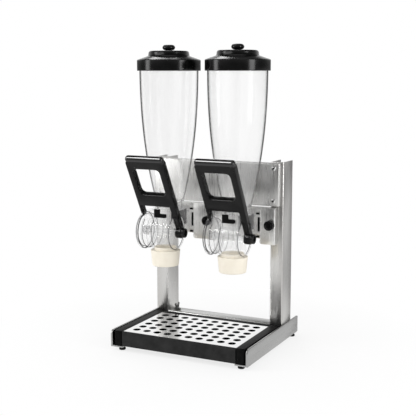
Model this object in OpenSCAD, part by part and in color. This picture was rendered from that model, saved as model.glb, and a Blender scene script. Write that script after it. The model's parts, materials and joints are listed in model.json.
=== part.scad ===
// Dry food dispenser: two clear hoppers with lever handles on a stainless stand with a crumb tray.
// Millimetres. X runs across the stand, the front faces -Y, Z is up from the floor under the feet.

/* [Base] */
// Width over the two side plates
base_w = 311; // [303:1:325]
// Length of the side plates, front to back
base_l = 274; // [266:1:288]
// Height of the side plates
plate_h = 35; // [32:0.5:39]
// Thickness of the side plates
plate_t = 4; // [3:0.5:5]
// Height of the feet
foot_h = 8; // [6:0.5:11]
// Radius of the feet
foot_r = 7; // [6:0.25:8]

/* [Posts and panel] */
// Height of the post tops above the floor
post_top = 389.5; // [382:0.5:400]
// Width of a post across the front
post_w = 28.5; // [26:0.5:31]
// Depth of a post
post_d = 51; // [46:1:56]
// Sheet thickness of the posts and the cross rail
post_t = 2; // [1.5:0.25:2.5]
// Height of the back panel
panel_h = 90; // [84:0.5:96]
// Depth of the back panel in front of the posts
panel_d = 13.5; // [11:0.5:15]
// Height of the mounting rail
rail_h = 77.5; // [72:0.5:82]

/* [Tray] */
// Length of the crumb tray, front to back
tray_l = 183.5; // [178:0.5:190]
// Gap between the tray and each side plate
tray_gap = 4; // [2.5:0.5:6]
// Width of the side rails of the tray
side_rail_w = 18.7; // [16:0.1:21]
// Thickness of the front rail of the tray
front_rail_t = 4.5; // [3.5:0.5:7]
// Thickness of the rear rail of the tray
rear_rail_t = 13; // [10:0.5:16]
// Thickness of the grate sheet
grate_t = 1.5; // [1:0.25:2.5]
// Radius of the round holes in the grate
hole_r = 7.9; // [6.5:0.1:8.8]

/* [Dispensers] */
// Distance between the two hopper axes
pitch = 156; // [150:1:162]
// Distance of the wheel axis in front of the posts
reach = 90.5; // [87:0.5:95]
// Outer radius of a hopper at its top
hopper_r = 61.2; // [58:0.2:63.6]
// Height of a hopper above its collar
hopper_h = 290; // [275:1:305]
// Wall thickness of a hopper
hopper_wall = 2.5; // [2:0.25:3]
// Outer radius of a hopper at its shoulder
shoulder_r = 29.5; // [28.5:0.25:33]
// Wall thickness of a lid
lid_wall = 3.2; // [2.6:0.2:4]
// Radius of the raised tier of a lid
tier_r = 42.8; // [38:0.2:48]
// Radius of the portion wheel
wheel_r = 31; // [30:0.25:32]
// Radius of the axle
axle_r = 5; // [4.5:0.25:5.5]
// Height of the outlet chute
chute_h = 33; // [28:0.5:40]

/* [Handle] */
// Forward lean of the handle at rest, degrees
lean = 29; // [26:0.5:31]
// Distance from the axle to the grip roll
handle_l = 178; // [170:0.5:188]
// Thickness of the handle frame
handle_t = 14.5; // [13:0.5:15]
// Radius of the grip roll
roll_r = 7.5; // [7.25:0.25:8.5]
// Width of the left bar beside the window
bar_w = 12; // [9:0.5:14]

/* [Hidden] */
$fn = 64;
// Clearances: sliding pieces, running shafts and fixed shafts
slide_gap = 0.4;
run_gap = 0.05;
fix_gap = 0.02;

// Base
plate_x = base_w / 2 - plate_t;
plate_top = foot_h + plate_h;
flange_t = 3;
flange_w = 24;
flange_top = foot_h + flange_t;
plate_corner = 9;
foot_front_in = 19.5;
foot_rear_in = 1.5;
foot_end = 14;
foot_front_x = base_w / 2 - foot_front_in;
foot_rear_x = base_w / 2 - foot_r - foot_rear_in;
foot_y = base_l / 2 - foot_end;

// Tray
tray_set = 0.5;
pan_gap = 0.2;
grate_sink = 0.8;
tray_x = plate_x - tray_gap;
tray_y0 = -base_l / 2 + tray_set;
tray_y1 = tray_y0 + tray_l;
tray_z0 = flange_top + slide_gap;
pan_x = tray_x - side_rail_w - pan_gap;
pan_y0 = tray_y0 + front_rail_t + pan_gap;
pan_y1 = tray_y1 - rear_rail_t - pan_gap;
pan_wall_t = 4;
pan_t = 1.6;
pan_floor_z = tray_z0 + pan_t;
grate_z1 = plate_top - grate_sink;
grate_z0 = grate_z1 - grate_t;
pan_top = grate_z0 - slide_gap;
grate_cols = 10;
grate_rows = 6;
grate_x = pan_x - pan_gap;
grate_y0 = pan_y0 + pan_gap;
grate_y1 = pan_y1 - pan_gap;
grate_front = 15.3;
grate_rear = 11;
grate_side = 11.5;
grate_pitch_x = 2 * (grate_x - grate_side - hole_r) / (grate_cols - 1);
grate_pitch_y = (grate_y1 - grate_rear - grate_y0 - grate_front - 2 * hole_r) / (grate_rows - 1);
grate_first_y = grate_y0 + grate_front + hole_r;

// Posts, panel and rails
post_gap = 4.5;
post_x = plate_x;
post_f = tray_y1 + post_gap;
cross_set = 1;
cross_lift = 1;
cross_d = 33.5;
cross_top = plate_top;
cross_y0 = post_f + cross_set;
cross_y1 = cross_y0 + cross_d;
panel_in = 4.5;
panel_drop = 1.5;
panel_t = 1.5;
panel_x = post_x - panel_in;
panel_f = post_f - panel_d;
panel_top = post_top - panel_drop;
panel_z0 = panel_top - panel_h;
screw_in = 17.2;
screw_edge = 11;
screw_r = 2.5;
screw_head_r = 5.2;
screw_head_h = 2.5;
socket_r = 2.4;
screw_x = post_x - screw_in;
screw_z1 = panel_top - screw_edge;
screw_z0 = panel_z0 + screw_edge;
rail_in = 11.5;
rail_d = 17.5;
rail_t = 2;
rail_gap = 3;
rail_round = 5.5;
web_lift = 10;
rail_x = post_x - rail_in;
rail_f = post_f - rail_d;
rail_top = panel_z0 - rail_gap;
rail_z0 = rail_top - rail_h;
recess_w = 28;
recess_d = 8;
recess_z0 = rail_z0 + web_lift;
web_y = rail_f + recess_d;

// Slots, plate and pads of a recess, from the wheel axis
slot_x0 = 20;
slot_x1 = 25;
slot_z0 = 1;
slot_z1 = 31;
clamp_w = 26;
clamp_t = 3;
clamp_z0 = -3;
clamp_z1 = 35;
pad_x0 = 17;
pad_x1 = 24;
pad_t = 2.5;
pad_h = 3.6;
pad_low = -12;
pad_high = 37.2;

// Clamp knobs
knob_r = 10.4;
knob_body = 11;
knob_face = 2;
knob_step = 1.6;
knob_stud_r = 3;
knob_stud = 14.5;
knob_off = 14;
knob_end = 10.5;
knob_left_x = -knob_off;
knob_right_x = rail_x - knob_end;

// Wing screw on the cross rail
wing_in = 14;
wing_x = -(post_x - post_w - wing_in);
wing_y = (cross_y0 + cross_y1) / 2;
wing_stud_r = 2.5;
wing_stud = 9;
washer_r = 8;
washer_t = 1.6;
wing_body_r = 4.5;
wing_body_h = 8.5;
wing_t = 2.6;
wing_w = 6;
wing_h = 11;
wing_tilt = 28;

// Dispenser, from the wheel axis
wheel_y = post_f - reach;
wheel_drop = 53.5;
knob_rise = 17.5;
wheel_z = rail_top - wheel_drop;
knob_z = wheel_z + knob_rise;
hopper_back = 20;
end_wall = 2.5;
vane_gap = 0.5;
bore_r = wheel_r + vane_gap;
drum_r = bore_r + end_wall;
ring_h = 3;
ring_r = drum_r + ring_h;
ring_w = 4;
disc_over = 5.5;
disc_r = drum_r + disc_over;
drum_x0 = -39;
drum_x1 = 27.4;
rib_x0 = -26;
rib_x1 = -14;
rib_h = 1.8;
block_in = 1.2;
block_front = -24;
block_back = 48;
block_z0 = 10;
block_h = 15.5;
block_top = wheel_r + block_h;
rear_w = 15;
rear_z0 = -10;
throat_r = 20;
throat_y = hopper_back / 2;
throat_z0 = 15;
floor_h = 16.5;
floor_z = block_top - floor_h;
collar_h = 15.5;
collar_t = 3.9;
neck_r = 26.2;
neck_in = neck_r - hopper_wall;
collar_in = neck_r + slide_gap;
collar_out = collar_in + collar_t;
spigot_out = 26.5;
spigot_in = spigot_out - end_wall;
spigot_l = 15;
spigot_end = -(wheel_r + spigot_l);
spigot_top = -20;
web_dy = web_y - wheel_y;

// Latch on the front of the throat block
latch_t = 5;
latch_x0 = -11;
latch_x1 = 17;
latch_leg = 13;
latch_low = 13.5;
latch_h = 17.5;
latch_z0 = block_top - latch_low;
latch_z1 = latch_z0 + latch_h;
latch_arm = 8.5;
latch_travel = 12;
key_x0 = -9;
key_x1 = 0;
key_d = 3.2;
key_h = 4.5;
key_z0 = latch_z0 + (latch_arm - key_h) / 2;
key_z1 = key_z0 + key_h;

// Handle, disc and axle
arm_gap = 0.6;
arm_t = 13;
arm_x0 = drum_x1 + arm_gap;
arm_x1 = arm_x0 + arm_t;
disc_gap = 4;
disc_t = 7;
disc_x1 = drum_x0 - disc_gap;
disc_x0 = disc_x1 - disc_t;
frame_in = 5;
frame_x0 = disc_x0 + frame_in;
frame_set = 6;
frame_f = frame_set - handle_t / 2;
frame_b = frame_set + handle_t / 2;
frame_gap = 33;
frame_r0 = wheel_r + frame_gap;
sill_h = 29.5;
head_h = 20.5;
right_bar_w = 13.5;
window_r0 = frame_r0 + sill_h;
window_r1 = handle_l - head_h;
window_x0 = frame_x0 + bar_w;
window_x1 = arm_x1 - right_bar_w;
window_corner = 9;
tongue_set = 0.2;
tongue_lap = 1;
tongue_r0 = disc_r - tongue_lap;
tongue_x0 = disc_x1 + tongue_set;
tongue_x1 = drum_x0 - arm_gap;
tongue_gap = 4.5;
tongue_r1 = disc_r + tongue_gap;
eye_wall = 6.5;
eye_r = axle_r + eye_wall;
dent_r = 3;
dent_d = 1.5;
dent_z0 = 24;
dent_z1 = 33;
dent_y = (frame_f + eye_r) / 2;
boss_r = 10;
boss_t = 7;
boss_x1 = arm_x1 + boss_t;
axle_end = 2;
boss_gap = 0.3;
disc_rim = 4.5;
disc_web = 3;
disc_hub_r = 9.5;
hub_w = 15;
wheel_hub_r = 9;
hub_proud = 0.5;
vane_t = 2.8;
vanes = 6;

// Chute
chute_drop = 1.5;
chute_gap = 0.3;
chute_wall = 2.5;
chute_step = 4;
chute_flare = 4.2;
chute_top = -(ring_r + chute_drop);
chute_in = spigot_out + chute_gap;
chute_out = chute_in + chute_flare;
chute_end_r = 28;

// Hopper and lid heights above the floor
collar_top = wheel_z + block_top + collar_h;
hopper_z0 = collar_top + slide_gap;
hopper_z1 = hopper_z0 + hopper_h;
neck_z0 = wheel_z + block_top + slide_gap;
lid_gap = 1.45;
lid_in = hopper_r + lid_gap;
lid_r = lid_in + lid_wall;
skirt = 18;
rim_top = 5;
tier_z = 11.5;
tier_top = 22.5;
tier_slope = 2.2;
roof_t = 3;
rim_edge_w = 1.6;
rim_edge_h = 1.8;
seat_w = 2;
seat_z = 0.6;
seat_h = 0.4;
button_r = 13.1;
button_h = 12.6;
button_neck = 4.5;
button_neck_h = 2.5;
button_under_w = 1.1;
button_under_h = 0.3;
button_side_z = 4.5;
crown_w = 5.6;
crown_h = 3.6;
crown_edge = 1.3;

// The hopper's outline swells quickly above the shoulder and ends upright at the rim
hopper_curve = 2.3;
hopper_steps = 20;
function hopper_outline(t) = shoulder_r + (hopper_r - shoulder_r) * (1 - pow(1 - t, hopper_curve));

// Piece to draw, or all of them

// Box between two corners, given in any order
module span(x0, x1, y0, y1, z0, z1) {
    translate([min(x0, x1), min(y0, y1), min(z0, z1)])
        cube([abs(x1 - x0), abs(y1 - y0), abs(z1 - z0)]);
}

// Round bar along X
module bar_x(r, x0, x1) {
    translate([x0, 0, 0])
        rotate([0, 90, 0])
            cylinder(r = r, h = x1 - x0);
}

// Round bar along Y
module bar_y(r, y0, y1) {
    translate([0, y0, 0])
        rotate([-90, 0, 0])
            cylinder(r = r, h = y1 - y0);
}

// Place a piece at the wheel axis of the left (-1) or right (1) dispenser
module at_wheel(s) {
    translate([s * pitch / 2, wheel_y, wheel_z])
        children();
}

// Place a piece on the hopper axis, with its heights already counted from the floor
module at_hopper(s) {
    translate([s * pitch / 2, wheel_y + hopper_back, 0])
        children();
}

// Side plate with its rounded front corner and the flange under the tray
module side_plate(s) {
    xo = s * base_w / 2;
    xi = s * plate_x;
    yf = -base_l / 2;
    difference() {
        union() {
            span(xi, xo, yf, -yf, foot_h, plate_top);
            span(s * (plate_x - flange_w), xi, yf, -yf, foot_h, flange_top);
        }
        difference() {
            span(xi - s, xo + s, yf - 1, yf + plate_corner, plate_top - plate_corner, plate_top + 1);
            translate([0, yf + plate_corner, plate_top - plate_corner])
                bar_x(plate_corner, -base_w, base_w);
        }
    }
}

// Post: a front web with two flanges, open to the rear
module post(s) {
    xo = s * post_x;
    xi = s * (post_x - post_w);
    difference() {
        union() {
            span(xi, xo, post_f, post_f + post_t, flange_top, post_top);
            span(xi, xi + s * post_t, post_f, post_f + post_d, flange_top, post_top);
            span(xo - s * post_t, xo, post_f, post_f + post_d, flange_top, post_top);
        }
        for (z = [screw_z0, screw_z1])
            translate([s * screw_x, 0, z])
                bar_y(screw_r + fix_gap, post_f - 1, post_f + post_t + 1);
    }
}

module side_plate_left() {
    color("silver") side_plate(-1);
}

module side_plate_right() {
    color("silver") side_plate(1);
}

module post_left() {
    color("silver") post(-1);
}

module post_right() {
    color("silver") post(1);
}

// Channel between the posts, open below, with the hole for the wing screw
module cross_rail() {
    cx = post_x - post_w;
    color("silver") difference() {
        span(-cx, cx, cross_y0, cross_y1, flange_top + cross_lift, cross_top);
        span(-cx - 1, cx + 1, cross_y0 + post_t, cross_y1 - post_t, flange_top, cross_top - post_t);
        translate([wing_x, wing_y, cross_top - post_t - 1])
            cylinder(r = wing_stud_r + run_gap, h = post_t + 2);
    }
}

// Back panel: a shallow pan whose edges meet the posts
module back_panel() {
    color("silver") difference() {
        span(-panel_x, panel_x, panel_f, post_f, panel_z0, panel_top);
        span(-panel_x + panel_t, panel_x - panel_t, panel_f + panel_t, post_f + 1,
            panel_z0 + panel_t, panel_top - panel_t);
        for (x = [-screw_x, screw_x])
            for (z = [screw_z0, screw_z1])
                translate([x, 0, z])
                    bar_y(screw_r + fix_gap, panel_f - 1, panel_f + panel_t + 1);
    }
}

// Four socket head screws through the panel into the posts
module panel_screws() {
    color("gray") for (x = [-screw_x, screw_x])
        for (z = [screw_z0, screw_z1])
            translate([x, 0, z])
                difference() {
                    union() {
                        bar_y(screw_head_r, panel_f - screw_head_h, panel_f);
                        bar_y(screw_r, panel_f - 0.5, post_f + 2 * post_t);
                    }
                    translate([0, panel_f - screw_head_h - 1, 0])
                        rotate([-90, 0, 0])
                            cylinder(r = socket_r, h = screw_head_h, $fn = 6);
                }
}

// Rounded lower corner of a rail face, cut along Y, on the side d of the recess edge at x
module rail_corner(x, d) {
    difference() {
        span(x - d, x + d * rail_round, rail_f - 1, rail_f + rail_t + 1, rail_z0 - 1, rail_z0 + rail_round);
        translate([x + d * rail_round, 0, rail_z0 + rail_round])
            bar_y(rail_round, rail_f - 2, rail_f + rail_t + 2);
    }
}

// Folded mounting rail: front faces, top fold, end returns and one recess for each dispenser
module mounting_rail() {
    c = pitch / 2;
    back = web_y + rail_t;
    color("silver") difference() {
        union() {
            span(-rail_x, -c - recess_w, rail_f, rail_f + rail_t, rail_z0, rail_top);
            span(-c + recess_w, c - recess_w, rail_f, rail_f + rail_t, rail_z0, rail_top);
            span(c + recess_w, rail_x, rail_f, rail_f + rail_t, rail_z0, rail_top);
            span(-rail_x, rail_x, rail_f, post_f, rail_top - rail_t, rail_top);
            for (s = [-1, 1]) {
                span(s * rail_x, s * (rail_x - rail_t), rail_f, post_f, rail_z0, rail_top);
                span(s * c - recess_w, s * c + recess_w, web_y, back, recess_z0, rail_top);
                for (d = [-1, 1])
                    span(s * c + d * recess_w, s * c + d * (recess_w + rail_t), rail_f, back,
                        recess_z0, rail_top);
            }
        }
        for (s = [-1, 1])
            for (d = [-1, 1]) {
                rail_corner(s * c + d * recess_w, d);
                span(s * c + d * slot_x0, s * c + d * slot_x1, web_y - 1, back + 1, wheel_z + slot_z0,
                    wheel_z + slot_z1);
            }
        for (x = [knob_left_x, knob_right_x])
            translate([x, 0, knob_z])
                bar_y(knob_stud_r + run_gap, rail_f - 1, rail_f + rail_t + 1);
    }
}

// Plate behind the recess that takes the housing's rear block
module clamp_plate(s) {
    c = s * pitch / 2;
    y0 = web_y + rail_t;
    span(c - clamp_w, c + clamp_w, y0, y0 + clamp_t, wheel_z + clamp_z0, wheel_z + clamp_z1);
}

module clamp_plate_left() {
    color("black") clamp_plate(-1);
}

module clamp_plate_right() {
    color("black") clamp_plate(1);
}

// Small pads in the corners of a recess
module bumpers(s) {
    c = s * pitch / 2;
    for (d = [-1, 1])
        for (z = [wheel_z + pad_low, wheel_z + pad_high])
            span(c + d * pad_x0, c + d * pad_x1, web_y - pad_t, web_y, z, z + pad_h);
}

module bumpers_left() {
    color("black") bumpers(-1);
}

module bumpers_right() {
    color("black") bumpers(1);
}

module feet() {
    color("black") for (s = [-1, 1]) {
        translate([s * foot_front_x, -foot_y, 0])
            cylinder(r = foot_r, h = foot_h);
        translate([s * foot_rear_x, foot_y, 0])
            cylinder(r = foot_r, h = foot_h);
    }
}

// Wing screw: washer, body, two raised wings and the stud through the cross rail
module wing_screw() {
    z0 = cross_top + slide_gap;
    color("gray") translate([wing_x, wing_y, 0]) {
        translate([0, 0, z0 - wing_stud])
            cylinder(r = wing_stud_r, h = wing_stud + 1);
        translate([0, 0, z0])
            cylinder(r = washer_r, h = washer_t);
        translate([0, 0, z0 + 1])
            cylinder(r = wing_body_r, h = wing_body_h - 1);
        for (d = [-1, 1])
            translate([0, d * wing_w / 2, z0 + wing_body_h / 2])
                rotate([d * -wing_tilt, 0, 0])
                    span(-wing_t / 2, wing_t / 2, -wing_w / 2, wing_w / 2, 0, wing_h);
    }
}

// Clamp knob with its stud through the rail face
module clamp_knob(x) {
    y1 = rail_f - slide_gap;
    translate([x, 0, knob_z]) {
        bar_y(knob_r, y1 - knob_body, y1);
        bar_y(knob_r - knob_step, y1 - knob_body - knob_face, y1 - knob_body);
        bar_y(knob_stud_r, y1 - 1, y1 + knob_stud);
    }
}

module clamp_knob_left() {
    color("black") clamp_knob(knob_left_x);
}

module clamp_knob_right() {
    color("black") clamp_knob(knob_right_x);
}

// Crumb tray rails around the inner pan
module tray_front_rail() {
    color("black") span(-tray_x + side_rail_w, tray_x - side_rail_w, tray_y0, tray_y0 + front_rail_t,
        tray_z0, plate_top);
}

module tray_left_rail() {
    color("black") span(-tray_x, -tray_x + side_rail_w, tray_y0, tray_y1, tray_z0, plate_top);
}

module tray_right_rail() {
    color("black") span(tray_x - side_rail_w, tray_x, tray_y0, tray_y1, tray_z0, plate_top);
}

module tray_rear_rail() {
    color("black") span(-tray_x + side_rail_w, tray_x - side_rail_w, tray_y1 - rear_rail_t, tray_y1,
        tray_z0, plate_top);
}

// Pan inside the rails: a floor sheet and four walls, whose tops carry the grate
module pan_floor() {
    color("dimgray") span(-pan_x, pan_x, pan_y0, pan_y1, tray_z0, pan_floor_z);
}

// Wall strip of the pan between two places along X and two along Y
module pan_wall(x0, x1, y0, y1) {
    color("dimgray") span(x0, x1, y0, y1, pan_floor_z, pan_top);
}

module pan_front_wall() {
    pan_wall(-pan_x, pan_x, pan_y0, pan_y0 + pan_wall_t);
}

module pan_rear_wall() {
    pan_wall(-pan_x, pan_x, pan_y1 - pan_wall_t, pan_y1);
}

module pan_left_wall() {
    pan_wall(-pan_x, -pan_x + pan_wall_t, pan_y0 + pan_wall_t, pan_y1 - pan_wall_t);
}

module pan_right_wall() {
    pan_wall(pan_x - pan_wall_t, pan_x, pan_y0 + pan_wall_t, pan_y1 - pan_wall_t);
}

module grate() {
    color("silver") difference() {
        span(-grate_x, grate_x, grate_y0, grate_y1, grate_z0, grate_z1);
        for (i = [0 : grate_cols - 1])
            for (j = [0 : grate_rows - 1])
                translate([(i - (grate_cols - 1) / 2) * grate_pitch_x, grate_first_y + j * grate_pitch_y,
                    grate_z0 - 1])
                    cylinder(r = hole_r, h = grate_t + 2, $fn = 32);
    }
}

// Clear drum housing with throat, collar, outlet spigot and rear block
module housing() {
    difference() {
        union() {
            bar_x(drum_r, drum_x0, drum_x1);
            bar_x(ring_r, drum_x0, drum_x0 + ring_w);
            bar_x(ring_r, drum_x1 - ring_w, drum_x1);
            bar_x(drum_r + rib_h, rib_x0, rib_x1);
            span(drum_x0 + block_in, drum_x1 - block_in, block_front, block_back, block_z0, block_top);
            span(-rear_w, rear_w, block_back - 1, web_dy, rear_z0, block_top);
            translate([0, hopper_back, block_top - 1])
                cylinder(r = collar_out, h = collar_h + 1);
            translate([0, 0, spigot_end])
                cylinder(r = spigot_out, h = spigot_top - spigot_end);
        }
        bar_x(bore_r, drum_x0 + end_wall, drum_x1 - end_wall);
        bar_x(axle_r + run_gap, drum_x0 - 1, drum_x1 + 1);
        translate([0, throat_y, throat_z0])
            cylinder(r = throat_r, h = floor_z - throat_z0 + 1);
        translate([0, hopper_back, floor_z])
            cylinder(r = neck_in, h = block_top - floor_z + 1);
        translate([0, hopper_back, block_top])
            cylinder(r = collar_in, h = collar_h + 1);
        translate([0, 0, spigot_end - 1])
            cylinder(r = spigot_in, h = spigot_top - spigot_end + 6);
        span(key_x0 - latch_travel - slide_gap, key_x1 + slide_gap, block_front - 1,
            block_front + key_d + slide_gap, key_z0 - slide_gap, key_z1 + slide_gap);
    }
}

module housing_left() {
    color("lightcyan", 0.5) at_wheel(-1) housing();
}

module housing_right() {
    color("lightcyan", 0.5) at_wheel(1) housing();
}

// Hopper: one revolved wall from the neck in the collar to the rim under the lid
module hopper() {
    n = hopper_steps;
    step = hopper_h / n;
    outer = [for (i = [0 : n]) [hopper_outline(i / n), hopper_z0 + i * step]];
    inner = [for (i = [n : -1 : 1]) [hopper_outline(i / n) - hopper_wall, hopper_z0 + i * step]];
    rotate_extrude(angle = 360)
        polygon(concat(
            [[neck_in, neck_z0], [neck_r, neck_z0], [neck_r, hopper_z0]],
            outer,
            inner,
            [[neck_in, hopper_z0 + hopper_wall]]
        ));
}

module hopper_left() {
    color("lightcyan", 0.4) at_hopper(-1) hopper();
}

module hopper_right() {
    color("lightcyan", 0.4) at_hopper(1) hopper();
}

// Lid: rim, sloping shoulder and raised tier, hollow below
module lid() {
    zt = hopper_z1;
    rotate_extrude(angle = 360)
        polygon([
            [lid_in, zt - skirt], [lid_r, zt - skirt], [lid_r, zt + rim_top - rim_edge_h],
            [lid_r - rim_edge_w, zt + rim_top], [tier_r, zt + tier_z], [tier_r - tier_slope, zt + tier_top],
            [0, zt + tier_top], [0, zt + tier_top - roof_t],
            [tier_r - tier_slope - roof_t, zt + tier_top - roof_t], [tier_r - roof_t, zt + tier_z - roof_t],
            [lid_in - seat_w, zt + seat_z + seat_h], [lid_in, zt + seat_z]
        ]);
}

// Flat button on a short neck
module lid_button() {
    zt = hopper_z1 + tier_top;
    zb = zt + button_h;
    r = button_r;
    rotate_extrude(angle = 360)
        polygon([
            [0, zt], [button_neck, zt], [button_neck, zt + button_neck_h],
            [r - button_under_w, zt + button_neck_h + button_under_h], [r, zt + button_side_z],
            [r, zb - crown_h], [r - crown_edge, zb - crown_edge], [r - crown_w, zb], [0, zb]
        ]);
}

module lid_left() {
    color("black") at_hopper(-1) lid();
}

module lid_right() {
    color("black") at_hopper(1) lid();
}

module lid_button_left() {
    color("black") at_hopper(-1) lid_button();
}

module lid_button_right() {
    color("black") at_hopper(1) lid_button();
}

// L-shaped latch with a key that slides in the block
module latch() {
    y1 = block_front - slide_gap;
    y0 = y1 - latch_t;
    span(latch_x0, latch_x0 + latch_leg, y0, y1, latch_z0, latch_z1);
    span(latch_x0, latch_x1, y0, y1, latch_z0, latch_z0 + latch_arm);
    span(key_x0, key_x1, y1 - 1, block_front + key_d, key_z0, key_z1);
}

module latch_left() {
    color("black") at_wheel(-1) latch();
}

module latch_right() {
    color("black") at_wheel(1) latch();
}

// Rounded window through the handle frame
module handle_window() {
    x0 = window_x0;
    x1 = window_x1;
    k = window_corner;
    y0 = frame_f - 1;
    y1 = frame_b + 1;
    span(x0 + k, x1 - k, y0, y1, window_r0, window_r1);
    span(x0, x1, y0, y1, window_r0 + k, window_r1 - k);
    for (x = [x0 + k, x1 - k])
        for (z = [window_r0 + k, window_r1 - k])
            translate([x, 0, z])
                bar_y(k, y0, y1);
}

// Lever handle: frame with window, left tongue, right arm on the axle and grip roll
module handle() {
    rotate([lean, 0, 0])
        difference() {
            union() {
                span(frame_x0, arm_x1, frame_f, frame_b, frame_r0, handle_l);
                span(frame_x0, tongue_x1, frame_f, frame_b, tongue_r1, frame_r0 + 1);
                span(tongue_x0, tongue_x1, frame_f, frame_b, tongue_r0, tongue_r1 + 1);
                span(arm_x0, arm_x1, frame_f, eye_r, 0, frame_r0 + 1);
                bar_x(eye_r, arm_x0, arm_x1);
                translate([0, frame_set, handle_l])
                    bar_x(roll_r, frame_x0, arm_x1);
            }
            handle_window();
            bar_x(axle_r + fix_gap, arm_x0 - 1, arm_x1 + 1);
            translate([0, dent_y, 0]) {
                for (z = [dent_z0, dent_z1])
                    translate([0, 0, z])
                        bar_x(dent_r, arm_x1 - dent_d, arm_x1 + 1);
                span(arm_x1 - dent_d, arm_x1 + 1, -dent_r, dent_r, dent_z0, dent_z1);
            }
        }
}

module handle_left() {
    color("black") at_wheel(-1) handle();
}

module handle_right() {
    color("black") at_wheel(1) handle();
}

// Clear end disc with a raised rim and a hub on the axle
module end_disc() {
    difference() {
        bar_x(disc_r, disc_x0, disc_x1);
        difference() {
            bar_x(disc_r - disc_rim, disc_x0 - 1, disc_x1 - disc_web);
            bar_x(disc_hub_r, disc_x0 - 2, disc_x1);
        }
        bar_x(axle_r + fix_gap, disc_x0 - 1, disc_x1 + 1);
    }
}

module end_disc_left() {
    color("lightcyan", 0.5) at_wheel(-1) end_disc();
}

module end_disc_right() {
    color("lightcyan", 0.5) at_wheel(1) end_disc();
}

module axle() {
    bar_x(axle_r, disc_x0, arm_x1 + axle_end);
}

module axle_left() {
    color("white", 0.7) at_wheel(-1) axle();
}

module axle_right() {
    color("white", 0.7) at_wheel(1) axle();
}

// Square hub between the disc and the drum
module axle_hub() {
    rotate([lean, 0, 0])
        difference() {
            span(disc_x1 + slide_gap, drum_x0 - arm_gap, -hub_w / 2, hub_w / 2, -hub_w / 2, hub_w / 2);
            bar_x(axle_r + fix_gap, disc_x1 - 1, drum_x0 + 1);
        }
}

module axle_hub_left() {
    color("dimgray") at_wheel(-1) axle_hub();
}

module axle_hub_right() {
    color("dimgray") at_wheel(1) axle_hub();
}

// Portion wheel: a hub with six vanes between the drum's end walls
module wheel() {
    x0 = drum_x0 + end_wall + slide_gap;
    x1 = drum_x1 - end_wall - slide_gap;
    difference() {
        union() {
            bar_x(wheel_hub_r, x0, x1);
            for (i = [0 : vanes - 1])
                rotate([lean + i * 360 / vanes, 0, 0])
                    span(x0 + hub_proud, x1 - hub_proud, -vane_t / 2, vane_t / 2, wheel_hub_r - 1, wheel_r);
        }
        bar_x(axle_r + fix_gap, x0 - 1, x1 + 1);
    }
}

module wheel_left() {
    color("white", 0.7) at_wheel(-1) wheel();
}

module wheel_right() {
    color("white", 0.7) at_wheel(1) wheel();
}

// Round cap over the axle end, on the handle's right arm
module boss() {
    difference() {
        bar_x(boss_r, arm_x1, boss_x1);
        bar_x(axle_r + fix_gap, arm_x1 - 1, arm_x1 + axle_end + boss_gap);
    }
}

module boss_left() {
    color("black") at_wheel(-1) boss();
}

module boss_right() {
    color("black") at_wheel(1) boss();
}

// Tapered outlet chute that pushes up over the spigot
module chute() {
    z1 = chute_top;
    z0 = chute_top - chute_h;
    rotate_extrude(angle = 360)
        polygon([
            [chute_in, z1], [chute_out, z1], [chute_end_r, z0], [chute_end_r - chute_wall, z0],
            [chute_in, spigot_end - chute_step]
        ]);
}

module chute_left() {
    color("wheat") at_wheel(-1) chute();
}

module chute_right() {
    color("wheat") at_wheel(1) chute();
}

side_plate_left();
side_plate_right();
post_left();
post_right();
cross_rail();
back_panel();
panel_screws();
mounting_rail();
clamp_plate_left();
clamp_plate_right();
bumpers_left();
bumpers_right();
feet();
wing_screw();
clamp_knob_left();
clamp_knob_right();
tray_front_rail();
tray_left_rail();
tray_right_rail();
tray_rear_rail();
pan_floor();
pan_front_wall();
pan_rear_wall();
pan_left_wall();
pan_right_wall();
grate();
housing_left();
housing_right();
hopper_left();
hopper_right();
lid_left();
lid_right();
lid_button_left();
lid_button_right();
latch_left();
latch_right();
handle_left();
handle_right();
end_disc_left();
end_disc_right();
axle_left();
axle_right();
axle_hub_left();
axle_hub_right();
wheel_left();
wheel_right();
boss_left();
boss_right();
chute_left();
chute_right();
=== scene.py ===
# %% [markdown]
# # A dry food dispenser with two hoppers
#
# The real object is a counter dispenser: two clear hoppers stand in clear drum housings, a lever
# on each housing turns a portion wheel, and the food falls through a cream chute into a bowl. The
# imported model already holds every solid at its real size. This lesson gives those solids their
# finish, and models again the pieces whose rounded edges, thin walls and small dents show.

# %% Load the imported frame
import json
import math

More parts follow.
